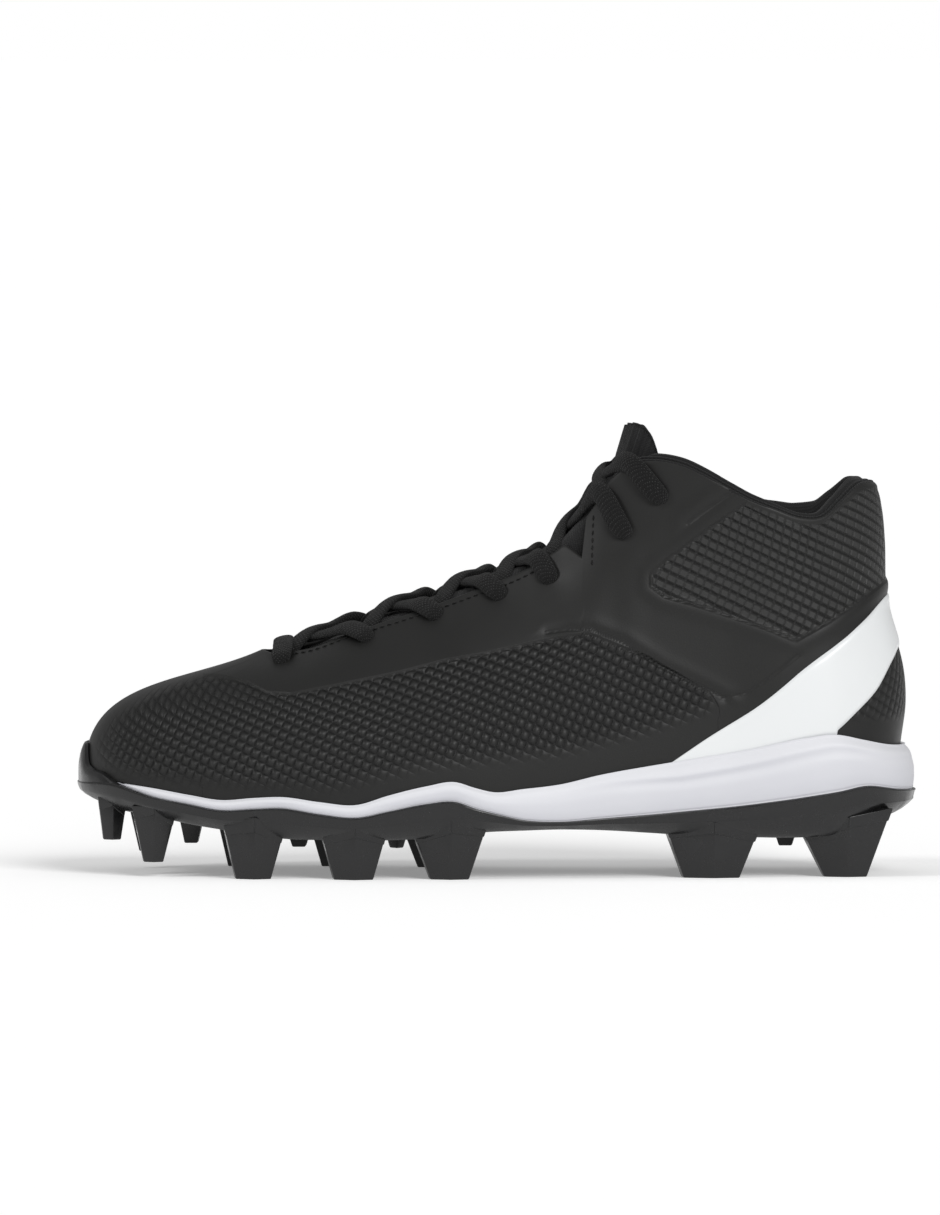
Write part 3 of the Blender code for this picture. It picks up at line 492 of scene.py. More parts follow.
class Wire:
    """A node's output, which adds, subtracts and multiplies as a number does."""

    def __init__(self, socket):
        self.socket, self.tree = socket, socket.id_data

    def math(self, operation, second=0.0, first=None):
        sockets = {0: self if first is None else first, 1: second}
        return Wire(add(self.tree, "ShaderNodeMath", sockets, operation=operation).outputs[0])

    def __add__(self, other):
        return self.math("ADD", other)

    def __sub__(self, other):
        return self.math("SUBTRACT", other)

    def __rsub__(self, other):
        return self.math("SUBTRACT", self, other)

    def __mul__(self, other):
        return self.math("MULTIPLY", other)

    def fold(self, size):
        """Rises from 0 to a size and falls again, over and over."""
        return self.math("PINGPONG", size)

    def spread(self, low, high, to_low, to_high):
        """Maps a value from one range to another, and stops at the ends."""
        ends = {"From Min": low, "From Max": high, "To Min": to_low, "To Max": to_high}
        return Wire(add(self.tree, "ShaderNodeMapRange", {"Value": self, **ends}).outputs["Result"])

    def blend(self, first, second):
        """A colour that is the first where the value is 0 and the second where it is 1."""
        first, second = [c if isinstance(c, Wire) else (*c, 1) for c in (first, second)]
        sockets = {0: self, "A": first, "B": second}
        return Wire(add(self.tree, "ShaderNodeMix", sockets, data_type="RGBA").outputs["Result"])


def finish(name, colour, roughness, **plain):
    """A material with plain values on its shader, and the shader to wire more into."""
    made = bpy.data.materials.new(name)
    made.use_nodes = True
    made.diffuse_color = (*colour, 1)
    shader = made.node_tree.nodes["Principled BSDF"]
    shader.inputs["Base Color"].default_value = (*colour, 1)
    shader.inputs["Roughness"].default_value = roughness
    for socket, value in plain.items():
        shader.inputs[socket.replace("_", " ")].default_value = value
    return made, shader


def feed(shader, **wires):
    """Joins outputs to the shader's sockets, whose names are written with underscores."""
    for socket, wire in wires.items():
        shader.id_data.links.new(wire.socket, shader.inputs[socket.replace("_", " ")])


def bump(shader, height, depth, under=None):
    """A bump of a real depth in metres, laid over another bump if one is given."""
    sockets = {"Height": height, "Distance": depth, "Strength": 1.0}
    if under is not None:
        sockets["Normal"] = under
    made = Wire(add(shader.id_data, "ShaderNodeBump", sockets).outputs["Normal"])
    feed(shader, Normal=made)
    return made


def object_place(tree):
    return add(tree, "ShaderNodeTexCoord").outputs["Object"]


def speckle(tree, size, detail=3.0, where=None):
    """Soft noise whose blotches are about one size across, in metres."""
    sockets = {"Vector": where or object_place(tree), "Scale": 1 / size, "Detail": detail}
    return Wire(add(tree, "ShaderNodeTexNoise", sockets).outputs[0])


def numbers_of(tree, name):
    """The three numbers that the mesh carries at each point under a name."""
    vector = add(tree, "ShaderNodeAttribute", attribute_name=name).outputs["Vector"]
    return [Wire(socket) for socket in add(tree, "ShaderNodeSeparateXYZ", {0: vector}).outputs]


print("node helpers ready")

# %% [markdown]
# The upper is a moulded synthetic skin. Its forefoot, its quarter and its ankle carry an embossed
# grid of small raised lozenges. They could be real bumps in the mesh, but at 3 mm a lozenge that
# takes more faces than one piece should have, so the skin's mesh carries three numbers at each
# point instead: the two counts of lozenges, and how deep the embossing is there. Nodes turn the
# counts into pillows with grooves between them and add the fine grain of the skin. Painted shade
# darkens the colour in the grooves and a painted highlight lightens the raised tops. At the ankle
# the lozenges are flatter, and their tops carry a stronger, speckled painted highlight. The depth
# fades out at the toe and above the sole, as it does on the real shoe.

# %% Skin finish
EMBOSS_DEPTH = 0.75 * MM
LEDGE_DEPTH = 0.45 * MM
CREASE_DEPTH = 0.30 * MM
PEBBLE = 0.55 * MM
# The skin's own black, a darker painted shade for the grooves, and a lighter painted highlight for the raised
# tops
SMOOTH_SKIN = (0.0100, 0.0100, 0.0096)
GROOVE_SHADE_SKIN = (0.0085, 0.0085, 0.0085)
TOP_HIGHLIGHT_SKIN = (0.0250, 0.0250, 0.0245)


def make_skin_finish():
    made, shader = finish("skin", (0.0130, 0.0130, 0.0126), 0.44, Specular_IOR_Level=0.32)
    tree = made.node_tree
    ledge_away, crease_away, at_ankle = numbers_of(tree, "lines")
    count_across, count_along, depth = numbers_of(tree, "emboss")
    across, along = count_across.fold(0.5), count_along.fold(0.5)
    pillow = ((across * np.pi).math("SINE") * (along * np.pi).math("SINE")).math("POWER", 0.70)
    brick = across.spread(0.0, 0.20, 0.45, 1.0) * along.spread(0.0, 0.24, 0.0, 1.0)
    sockets = {"Factor": at_ankle, "A": pillow, "B": brick}
    shape = Wire(add(tree, "ShaderNodeMix", sockets).outputs["Result"])
    relief = shape * depth
    lozenges = bump(shader, relief, EMBOSS_DEPTH)
    ledge = bump(shader, ledge_away.spread(-0.5 * MM, 0.5 * MM, 1.0, 0.0), LEDGE_DEPTH, lozenges)
    valley = crease_away.math("ABSOLUTE").spread(0.0, 0.9 * MM, 0.0, 1.0)
    crease = bump(shader, valley, CREASE_DEPTH, ledge)
    sockets = {"Vector": object_place(tree), "Scale": 1 / PEBBLE}
    pebbles = add(tree, "ShaderNodeTexVoronoi", sockets, feature="SMOOTH_F1").outputs["Distance"]
    grain = Wire(pebbles) + speckle(tree, 0.25 * MM)
    bump(shader, grain, 0.020 * MM, crease)
    rubbed = speckle(tree, 22 * MM, 4).spread(0.35, 0.70, 0.42, 0.52)
    flecks = speckle(tree, 0.45 * MM, 2).spread(0.35, 0.70, 0.40, 1.45)
    # Painted shade: the colour darkens in the grooves. Painted highlight: it lightens on the raised tops, and
    # more, in speckles, at the ankle.
    sunk = depth * (1.0 - shape)
    painted_highlight_tops = relief.math("POWER", 4.0) * 0.50 + at_ankle * flecks * (relief * 0.75 + 0.22)
    feed(
        shader,
        Base_Color=painted_highlight_tops.blend(sunk.blend(SMOOTH_SKIN, GROOVE_SHADE_SKIN), TOP_HIGHLIGHT_SKIN),
        Roughness=rubbed + grain * 0.02,
        Specular_IOR_Level=sunk.spread(0.0, 0.8, 0.31, 0.19),
    )
    return made


skin_finish = make_skin_finish()
print(skin_finish.name, len(skin_finish.node_tree.nodes), "nodes")

# %% [markdown]
# The lining, the tongue and the collar are knitted. A knit is rows of small loops, so two folded
# counts make the rows and the loops, and a soft sheen stands for the fuzz of the yarn. The counts
# come with the mesh again, in metres across and along the cloth, so that the rows follow the
# piece. The tongue's end has deeper ribs too.

# %% Knit finishes
RIB = 1.3 * MM


def make_knit_finish(name, colour, stitch, depth, ribs=0.0):
    """Knitted cloth with loops of one size, and deeper ribs if they are asked for."""
    made, shader = finish(name, colour, 0.92, Sheen_Weight=0.08, Sheen_Roughness=0.5,
                          Specular_IOR_Level=0.25)
    tree = made.node_tree
    across, along, ribbed = numbers_of(tree, "cloth")
    row = along.fold(stitch)
    loops = row * (1 / stitch) * ((across + row * 0.6).fold(stitch / 2) * (2 / stitch))
    rib = across.fold(RIB) * (ribs / RIB) * ribbed
    bump(shader, loops + rib + speckle(tree, 0.5 * MM) * 0.6, depth)
    fleck = (loops * speckle(tree, 0.4 * MM)).spread(0.25, 0.60, 0.0, 1.0)
    feed(shader, Base_Color=fleck.blend(colour, [4.5 * c for c in colour]))
    return made


tongue_knit = make_knit_finish("tongue_knit", (0.0085, 0.0085, 0.0088), 0.55 * MM, 0.22 * MM, ribs=1.6)
collar_knit = make_knit_finish("collar_knit", (0.0100, 0.0100, 0.0102), 0.70 * MM, 0.20 * MM)
lining_cloth = make_knit_finish("lining_cloth", (0.0130, 0.0130, 0.0130), 0.90 * MM, 0.15 * MM)
print(len(bpy.data.materials), "materials so far")

# %% [markdown]
# The lace is a flat oval braid. A braid shows as small slanted bundles of yarn, here two sets of
# slanted ripples multiplied together, with a few lighter yarn flecks. The film band is smooth
# plastic with a satin gloss. The foam has a fine skin with a soft, slightly blue white, and its
# colour carries painted shade: greyer where it faces down.

# %% Lace, film and foam finishes
YARN = 0.75 * MM


def make_lace_finish():
    made, shader = finish("lace_braid", (0.0095, 0.0095, 0.0095), 0.85, Sheen_Weight=0.06,
                          Sheen_Roughness=0.5, Specular_IOR_Level=0.18)
    tree = made.node_tree
    across, along, _ = numbers_of(tree, "cloth")
    bundles = (across + along).fold(YARN) * (across - along).fold(YARN) * (1 / YARN ** 2)
    fuzz = speckle(tree, 0.3 * MM)
    bump(shader, bundles + fuzz * 1.2, 0.38 * MM)
    fleck = (bundles * fuzz).spread(0.30, 0.62, 0.0, 1.0)
    feed(shader, Base_Color=fleck.blend((0.0065, 0.0065, 0.0064), (0.0950, 0.0950, 0.0940)))
    return made


def make_film_finish():
    made, shader = finish("white_film", (0.70, 0.715, 0.72), 0.34,
                          Coat_Weight=0.25, Coat_Roughness=0.22)
    tree = made.node_tree
    ripples = bump(shader, speckle(tree, 9 * MM, 2), 0.05 * MM)
    bump(shader, speckle(tree, 0.4 * MM), 0.006 * MM, ripples)
    feed(shader, Roughness=speckle(tree, 15 * MM, 5).spread(0.3, 0.7, 0.30, 0.40))
    return made


def make_foam_finish():
    made, shader = finish("white_foam", (0.63, 0.63, 0.662), 0.52, Specular_IOR_Level=0.40)
    tree = made.node_tree
    pores = speckle(tree, 0.35 * MM, 4)
    bump(shader, pores, 0.02 * MM)
    cloudy = speckle(tree, 30 * MM, 2).spread(0.3, 0.7, 0.0, 1.0)
    normal = add(tree, "ShaderNodeNewGeometry").outputs["Normal"]
    upward = Wire(add(tree, "ShaderNodeSeparateXYZ", {0: normal}).outputs["Z"])
    # Painted shade: the foam's colour is greyer where its surface faces down, with a little random mottling.
    painted_shade_and_mottle = upward.spread(-0.25, 0.42, 0.0, 1.0) * 0.85 + cloudy * 0.15
    feed(
        shader,
        Base_Color=painted_shade_and_mottle.blend((0.510, 0.514, 0.552), (0.645, 0.648, 0.675)),
        Roughness=pores.spread(0.3, 0.7, 0.46, 0.60),
    )
    return made


lace_braid, white_film, white_foam = make_lace_finish(), make_film_finish(), make_foam_finish()
print(lace_braid.name, white_film.name, white_foam.name)

# %% [markdown]
# The plate and studs are one moulding of hard black plastic. Its gloss is what shows it: a smooth
# satin skin that catches a bright line on each edge, rougher in a few scuffs, with the fine
# flow marks of the mould.

# %% Moulded plate finish
def make_plate_finish():
    made, shader = finish("moulded_plate", (0.0070, 0.0070, 0.0074), 0.26, Specular_IOR_Level=0.46)
    tree = made.node_tree
    sockets = {"Vector": object_place(tree), "Scale": (0.25, 1.0, 1.0)}
    flow = add(tree, "ShaderNodeMapping", sockets).outputs["Vector"]
    marks = bump(shader, speckle(tree, 1.6 * MM, 4, flow), 0.03 * MM)
    bump(shader, speckle(tree, 0.25 * MM, 2), 0.006 * MM, marks)
    feed(shader, Roughness=speckle(tree, 7 * MM, 6).spread(0.40, 0.68, 0.22, 0.42))
    return made


moulded_plate = make_plate_finish()
print(moulded_plate.name, "ready")

# %% [markdown]
# The floor only has to be white and to take the shoe's soft shadow. Its faint glow lifts it to
# pure white where nothing shades it.

# %% Floor finish
white_floor, floor_shader = finish("white_floor", (0.90, 0.90, 0.90), 0.60, Specular_IOR_Level=0.0,
                                   Emission_Strength=0.25)
floor_shader.inputs["Emission Color"].default_value = (1, 1, 1, 1)
bump(floor_shader, speckle(white_floor.node_tree, 3 * MM), 0.01 * MM)
floor_mesh.materials.append(white_floor)
print(white_floor.name, "on", floor.name)

# %% [markdown]
# Most pieces here are sheets: a grid of points bent to the last's form. A helper turns such a grid
# into a mesh with quads, smooth shading and the numbers that the finishes read.

# %% Sheets from grids of points
def grid_quads(rows, columns, looped):
    """The quads of a grid of points, closed round if looped."""
    row, place = np.meshgrid(
        np.arange(rows - 1), np.arange(columns if looped else columns - 1), indexing="ij"
    )
    near, far = place, (place + 1) % columns
    quads = np.stack([row * columns + near, row * columns + far,
                      (row + 1) * columns + far, (row + 1) * columns + near], -1)
    return quads.reshape(-1, 4)


def piece_from(name, points, faces, finishes, numbers=(), finish_of_face=None, body="root"):
    """An object of the shoe, from its points and faces, riding on the shoe's body."""
    mesh = bpy.data.meshes.new(name)
    mesh.from_pydata(
        np.asarray(points, float).reshape(-1, 3).tolist(), [], [list(map(int, f)) for f in faces]
    )
    for made in finishes:
        mesh.materials.append(made)
    for label, values in dict(numbers).items():
        layer = mesh.attributes.new(label, "FLOAT_VECTOR", "POINT")
        layer.data.foreach_set("vector", np.asarray(values, np.float32).reshape(-1))
    if finish_of_face is not None:
        mesh.polygons.foreach_set("material_index", np.asarray(finish_of_face, np.int32))
    mesh.shade_smooth()
    made = bpy.data.objects.new(name, mesh)
    bpy.context.scene.collection.objects.link(made)
    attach(made, body)
    print(name, len(mesh.polygons), "faces")
    return made


def cloth_numbers(points, ribs=0.0):
    """Metres across and along a grid of points, and how strong its ribs are."""
    across = np.linalg.norm(np.diff(points, axis=1), axis=-1)
    along = np.linalg.norm(np.diff(points, axis=0), axis=-1)
    across = np.concatenate([np.zeros((len(points), 1)), np.cumsum(across, axis=1)], axis=1)
    along = np.concatenate([np.zeros((1, points.shape[1])), np.cumsum(along, axis=0)], axis=0)
    across = np.broadcast_to(across.mean(axis=0), across.shape)
    return np.stack([across, along, np.broadcast_to(ribs, across.shape)], -1)


print("sheet helpers ready")

# %% [markdown]
# The skin's relief is placed on the side of the shoe. Lines below are given by place
# along and rise, as shares, and follow the edges that the photograph shows: the lower edge of
# the smooth eyestay, the edge round the ankle's field, the crease over the quarter, and the
# fold that runs down from the collar. The smooth overlay stands a little proud of the fields.

# %% Lines on the skin
# along, rise as a share of the collar's height
FIELD_TOP = [
    (0.015, 0.235), (0.044, 0.322), (0.089, 0.392), (0.125, 0.416), (0.152, 0.426), (0.171, 0.427),
    (0.204, 0.414), (0.227, 0.388), (0.256, 0.385), (0.317, 0.412), (0.386, 0.444), (0.441, 0.476),
    (0.486, 0.493), (0.576, 0.537), (0.611, 0.546), (0.645, 0.515), (0.683, 0.482), (0.734, 0.414),
    (0.756, 0.385), (0.765, 0.350),
]
FIELD_FOOT = [
    (0.020, 0.200), (0.044, 0.178), (0.101, 0.150), (0.196, 0.136), (0.303, 0.128), (0.410, 0.190),
    (0.481, 0.205), (0.576, 0.225), (0.671, 0.275), (0.765, 0.345),
]
ANKLE_EDGE = [
    (0.812, 0.930), (0.799, 0.899), (0.760, 0.836), (0.730, 0.788), (0.697, 0.732), (0.683, 0.702),
    (0.683, 0.668), (0.700, 0.640), (0.746, 0.611), (0.822, 0.553), (0.856, 0.522), (0.897, 0.573),
    (0.928, 0.617), (0.963, 0.672), (1.000, 0.690),
]
QUARTER_CREASE = [
    (0.560, 0.548), (0.585, 0.556), (0.612, 0.556), (0.650, 0.522), (0.695, 0.458), (0.745, 0.404),
    (0.772, 0.372),
]
BAND_CREASE = [(0.772, 0.372), (0.796, 0.385), (0.825, 0.426), (0.860, 0.487)]
COLLAR_FOLD = [(0.783, 0.925), (0.762, 0.893), (0.745, 0.866), (0.728, 0.836)]
print(len(ANKLE_EDGE), "points round the ankle's field")

# %% Distances to those lines
def side_place(way, up):
    """Place along and height of the same point on the outer side, so both sides match."""
    mirrored = upper(one_side(way), up)
    return mirrored[..., 0], mirrored[..., 2]


def line_points(line):
    shares = np.array(line, float)
    return np.stack([at_along(shares[:, 0]), STUD_HEIGHT + COLLAR_HEIGHT * shares[:, 1]], -1)


def beside_line(x, z, line):
    """Distance to a line in metres, positive on the left as the line is walked."""
    points = line_points(line)
    best = np.full(x.shape, np.inf)
    side = np.ones(x.shape)
    for (x0, z0), (x1, z1) in zip(points[:-1], points[1:]):
        dx, dz = x1 - x0, z1 - z0
        t = np.clip(((x - x0) * dx + (z - z0) * dz) / (dx * dx + dz * dz), 0, 1)
        away = np.hypot(x - x0 - dx * t, z - z0 - dz * t)
        closer = away < best
        side = np.where(closer, np.sign(dx * (z - z0) - dz * (x - x0)), side)
        best = np.minimum(best, away)
    return best * side


def bead(distance, width):
    return np.exp(-(distance / width) ** 2)


print("line helpers ready")

# %% Where the embossing is, and how deep
def forefoot_depth(x, z):
    line = line_points(FIELD_TOP)
    top = np.interp(x, line[:, 0], line[:, 1])
    line = line_points(FIELD_FOOT)
    foot = np.interp(x, line[:, 0], line[:, 1])
    soft = 1.0 * MM + 4 * MM * ease(-x, -at_along(0.19), -at_along(0.08))
    inside = ease(top - z, 0, soft) * ease(z - foot, -3 * MM, 6 * MM)
    return inside * ease(x, at_along(0.018), at_along(0.055)) * ease(-x, -at_along(0.765), -at_along(0.745))


def ankle_depth(x, z, up):
    return ease(beside_line(x, z, ANKLE_EDGE), 0.2 * MM, 1.6 * MM) * ease(-up, -0.985, -0.965)


def heel_depth(x, z):
    """The weaker embossing under the band at the heel."""
    below = ease(at_along(0.995) + 0.2 * (z - 0.06) - x, -1, 0)
    reach = ease(x + 0.55 * (0.085 - z), at_along(0.965), at_along(0.985))
    return 0.55 * below * reach * ease(-z, -0.083, -0.076) * ease(z, 0.054, 0.058)


print("depth fields ready")

# %% Relief of the skin
EYELETS = [
    (0.2450, 0.470, 0.200),
    (0.3445, 0.531, 0.350),
    (0.4264, 0.592, 0.425),
    (0.5024, 0.647, 0.500),
    (0.5630, 0.693, 0.563),
    (0.6520, 0.814, 0.633),
    (0.6946, 0.908, 0.657),
]
EYELET_RADIUS = 0.0024
eyelet_places = [find_on_side(share, rise) for share, rise, _ in EYELETS]
# line, how far beside it, width and height of a soft ridge or groove in the skin, in millimetres
RIDGES = [
    (QUARTER_CREASE, 0.0, 1.3, -0.40), (QUARTER_CREASE, 2.8, 2.4, 0.25),
    (BAND_CREASE, 0.0, 1.2, -0.30),
    (COLLAR_FOLD, 0.0, 1.0, -0.40), (COLLAR_FOLD, -3.2, 2.6, 0.40),
]


def heel_round(way, up):
    """How far the heel's padded top rolls inwards."""
    return 1.7 * MM * ease(one_side(way), 0.90, 0.97) * ease(up, 0.960, 1.030) ** 2


def skin_relief(way, up):
    """How far the skin stands out from the last, in metres, and the depth of its embossing."""
    x, z = side_place(way, up)
    forefoot, ankle, heel = forefoot_depth(x, z), ankle_depth(x, z, up), heel_depth(x, z)
    relief = -0.45 * MM * forefoot * ease(x, at_along(0.12), at_along(0.19))
    relief = relief - 0.60 * MM * ankle - heel_round(way, up)
    edge = beside_line(x, z, ANKLE_EDGE)
    relief = relief + 0.40 * MM * bead(edge + 1.8 * MM, 2.2 * MM) * ease(-up, -0.97, -0.90)
    for line, beside, width, high in RIDGES:
        relief = relief + high * MM * bead(beside_line(x, z, line) - beside * MM, width * MM)
    bulge = np.hypot(x - at_along(0.855), (z - 0.104) * 1.2)
    relief = relief + 0.70 * MM * bead(bulge, 22 * MM)
    for eyelet_way, eyelet_up in eyelet_places:
        centre = upper(eyelet_way, eyelet_up)
        relief = relief - 0.35 * MM * bead(np.hypot(x - centre[0], z - centre[2]), 4.2 * MM)
    return relief, np.maximum(np.maximum(forefoot, ankle), heel)


print("eyelets at", [tuple(np.round(place, 3)) for place in eyelet_places])

# %% [markdown]
# The lozenges form a slanted grid, the same all over the side: one count goes down to the right,
# the other goes up to the right. The counts use lengths measured along the skin, not its shadow
# on the side, so that the grid isn't stretched where the skin turns over the toe or the heel.

# %% Counting the lozenges
# One lozenge to the right along its row, and one to the next row: forward and up, in metres
LOZENGE_ROW = (2.82 * MM, -1.41 * MM)
LOZENGE_RISE = (1.41 * MM, 3.17 * MM)


def along_skin(points, ways, middle=0.45):
    """Lengths forward and up along the skin, for a grid of points with one column per way."""
    steps = np.diff(points, axis=1)
    forward = np.cumsum(
        np.hypot(steps[..., 0], steps[..., 1]) * np.where(ways[1:] < 1.0, 1, -1), axis=1
    )
    forward = np.concatenate([np.zeros((len(points), 1)), forward], axis=1)
    start = int(np.argmin(np.abs(ways - middle)))
    forward = forward - forward[:, start:start + 1] + points[:, start:start + 1, 0]
    climbs = np.hypot(np.diff(points[..., 1], axis=0), np.diff(points[..., 2], axis=0))
    climb = np.concatenate([points[:1, :, 2], points[:1, :, 2] + np.cumsum(climbs, axis=0)], axis=0)
    return forward, climb


def lozenge_counts(forward, climb):
    (row_x, row_z), (rise_x, rise_z) = LOZENGE_ROW, LOZENGE_RISE
    area = row_x * rise_z - row_z * rise_x
    return (forward * rise_z - climb * rise_x) / area, (climb * row_x - forward * row_z) / area


print("rows of lozenges", round(float(np.hypot(*LOZENGE_RISE)) / MM, 2), "mm apart")

# %% [markdown]
# The skin could be a sheet with the Solidify modifier, as in the part. Here its wall is drawn
# directly, because its edge round the throat and collar has to be rolled over and its inside has
# to be lined: rows run up the outside, over the edge in a half circle, and down the inside. Between
# the fifth and sixth eyelets the edge is cut down in a V. Faces inside each eyelet are left out.

# %% Upper skin
SKIN_COLUMNS, SKIN_ROWS, ROLL_ROWS, LINING_ROWS = 680, 118, 5, 9
EDGE_MARGIN = 0.010
# Below this share of each rib the notch doesn't move the rows
UNMOVED = 0.55
NOTCH = [(0.582, 0.776), (0.609, 0.739), (0.613, 0.739)]


def skin_ways(columns):
    side = np.arange(columns // 2) / (columns // 2)
    for place in column(NOTCH, 0):
        side[np.argmin(np.abs(side - place))] = place
    return np.concatenate([side, 2 - np.concatenate([[1.0], side[:0:-1]])])


def top_of_rib(way):
    """Where the wall ends on its rib: near the topline, or lower in the notch."""
    start, bottom, end = (row[0] for row in NOTCH)
    rise = np.interp(one_side(way), [start, bottom], [NOTCH[0][1], NOTCH[1][1]])
    cut = up_at_height(way, STUD_HEIGHT + COLLAR_HEIGHT * rise)
    inside = (one_side(way) > start + 1e-6) & (one_side(way) < end - 1e-6)
    return np.where(inside, np.minimum(cut, 1 - EDGE_MARGIN), 1 - EDGE_MARGIN)


def in_eyelet(points, radius):
    """Which points lie inside an eyelet, on either side of the shoe."""
    hit = np.zeros(points.shape[:-1], bool)
    for way, up in eyelet_places:
        for place in (way, 2 - way):
            centre, axis = upper(place, up), upper_normal(place, up)
            away = points - centre
            off = away - (away @ axis)[..., None] * axis
            hit |= (np.linalg.norm(off, axis=-1) < radius) & (np.abs(away @ axis) < 5 * MM)
    return hit


def skin_lines(way, up):
    """Distances to the crisp ledge and to the nearest crease, which the finish turns into bumps."""
    x, z = side_place(way, up)
    ledge = beside_line(x, z, ANKLE_EDGE)
    field = line_points(FIELD_TOP[4:])
    drop = np.interp(x, field[:, 0], field[:, 1]) - z
    drop = np.where((x > at_along(0.150)) & (x < at_along(0.765)), drop, -6 * MM)
    drop = np.minimum(drop, 6 * MM)
    ledge = np.maximum(ledge, drop)
    creases = [np.abs(beside_line(x, z, line)) for line in (QUARTER_CREASE, BAND_CREASE, COLLAR_FOLD)]
    crease = np.min(creases, axis=0)
    return np.stack([ledge, np.minimum(crease, 6 * MM), np.clip(ankle_depth(x, z, up) * 3, 0, 1)], -1)


def make_skin():
    ways = skin_ways(SKIN_COLUMNS)
    even = np.linspace(0, 1 - EDGE_MARGIN, SKIN_ROWS)[:, None]
    squeeze = (top_of_rib(ways) - UNMOVED) / (1 - EDGE_MARGIN - UNMOVED)
    ups = np.where(even > UNMOVED, UNMOVED + (even - UNMOVED) * squeeze, even)
    base, normal = upper(ways, ups), upper_normal(ways, ups)
    relief, depth = skin_relief(ways, ups)
    outside = base + normal * relief[..., None]
    rows = list(outside)
    forward, climb = along_skin(outside, ways)
    u, v = lozenge_counts(forward, climb)
    edge, out = rows[-1], normal[-1]
    ahead = edge - rows[-2]
    ahead = ahead / np.linalg.norm(ahead, axis=-1, keepdims=True)
    radius = UPPER_WALL / 2
    for turn in np.linspace(0, np.pi, ROLL_ROWS + 1)[1:]:
        rows.append(edge - out * radius * (1 - np.cos(turn)) + ahead * radius * np.sin(turn))
    for share in np.linspace(1, 0, LINING_ROWS + 1)[1:]:
        rows.append(above_upper(ways, ups[-1] * share, -UPPER_WALL - heel_round(ways, ups[-1] * share)))
    points = np.array(rows)
    quads = grid_quads(len(points), len(ways), True)
    extra = len(points) - SKIN_ROWS
    numbers = np.stack([u, v, depth], -1)
    rest = np.repeat(np.concatenate([numbers[-1:, :, :2], np.zeros((1, len(ways), 1))], -1), extra, 0)
    emboss = np.concatenate([numbers, rest])
    lines = np.concatenate([skin_lines(ways, ups), np.full((extra, len(ways), 3), 6 * MM)])
    centres = points.reshape(-1, 3)[quads].mean(axis=1)
    keep = ~in_eyelet(centres, EYELET_RADIUS + 0.5 * MM)
    inside_row = quads[:, 0] // len(ways) >= SKIN_ROWS + ROLL_ROWS - 2
    return piece_from(
        "upper_skin", points, quads[keep], [skin_finish, lining_cloth],
        {"emboss": emboss, "lines": lines, "cloth": cloth_numbers(points)}, inside_row[keep],
    )


upper_skin = make_skin()
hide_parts("upper")

# %% [markdown]
# An eyelet is a hole punched in the skin, pressed in a little by the lace. A small collar of the
# same skin closes the hole's wall: it starts flat on the surface, rounds over and goes through.
# All fourteen are one piece.

# %% Eyelets
EYELET_PROFILE = [
    (1.75, 0.03), (1.40, 0.10), (1.15, 0.02), (1.02, -0.25), (1.00, -0.80), (1.00, -2.40),
]


def make_eyelets(steps=28):
    points, faces = [], []
    for way, up in eyelet_places:
        for place in (way, 2 - way):
            centre, axis = upper(place, up), upper_normal(place, up)
            forward = np.cross([0.0, 0.0, 1.0], axis)
            forward /= np.linalg.norm(forward)
            across = np.cross(axis, forward)
            base = len(points)
            for radius, lift in EYELET_PROFILE:
                for turn in np.arange(steps) / steps * 2 * np.pi:
                    flat = radius * EYELET_RADIUS * (forward * np.cos(turn) + across * np.sin(turn))
                    sag = (radius * EYELET_RADIUS) ** 2 / (2 * 0.045)
                    points.append(centre + flat + axis * (lift * MM - 0.30 * MM - sag))
            faces += (grid_quads(len(EYELET_PROFILE), steps, True) + base).tolist()
    flat = np.zeros((len(points), 3))
    return piece_from("eyelets", points, faces, [skin_finish], {"emboss": flat, "lines": flat + 6 * MM})


eyelets = make_eyelets()

# %% [markdown]
# The film band is a strip of thin white plastic welded to the skin. It starts in a point on the
# side, just over the foam, and wraps the heel. It is drawn as a fine sheet a little above the skin
# with its edges turned down to it, so that they throw a hair of shadow.

# %% Film band
BAND_THICK = 0.0007
BAND_TOP = [(0.700, 0.190), (0.7518, 0.268), (0.806, 0.343), (0.867, 0.452), (0.9127, 0.527)]
BAND_TOP_AT_HEEL = 0.640
BAND_FOOT = [(0.905, 0.285), (0.921, 0.318), (0.949, 0.382), (0.970, 0.462)]
BAND_FOOT_AT_HEEL = 0.505


def past_heel(row):
    """A row carried on past the heel in mirror image, so that its curve is level there."""
    return row + row[-2::-1]


def band_edges(way):
    """Heights of the band's lower and upper edge at a station."""
    top, foot = [find_on_side(*row) for row in BAND_TOP], [find_on_side(*row) for row in BAND_FOOT]
    top_ways = [w for w, _ in top] + [1.0]
    foot_ways = [w for w, _ in foot] + [1.0]
    all_top_ways = top_ways + [2 - w for w in top_ways[-2::-1]]
    all_foot_ways = foot_ways + [2 - w for w in foot_ways[-2::-1]]
    high = smooth(all_top_ways, past_heel([r for _, r in BAND_TOP] + [BAND_TOP_AT_HEEL]), way)
    low = smooth(all_foot_ways, past_heel([r for _, r in BAND_FOOT] + [BAND_FOOT_AT_HEEL]),
                 np.maximum(way, foot_ways[0]))
    rim = level(RIM, foot_x(way)) - 1.0 * MM
    low = np.maximum(rim, np.where(way < foot_ways[0], 0, STUD_HEIGHT + COLLAR_HEIGHT * low))
    return low, np.maximum(STUD_HEIGHT + COLLAR_HEIGHT * high, low + GAP), top_ways[0]


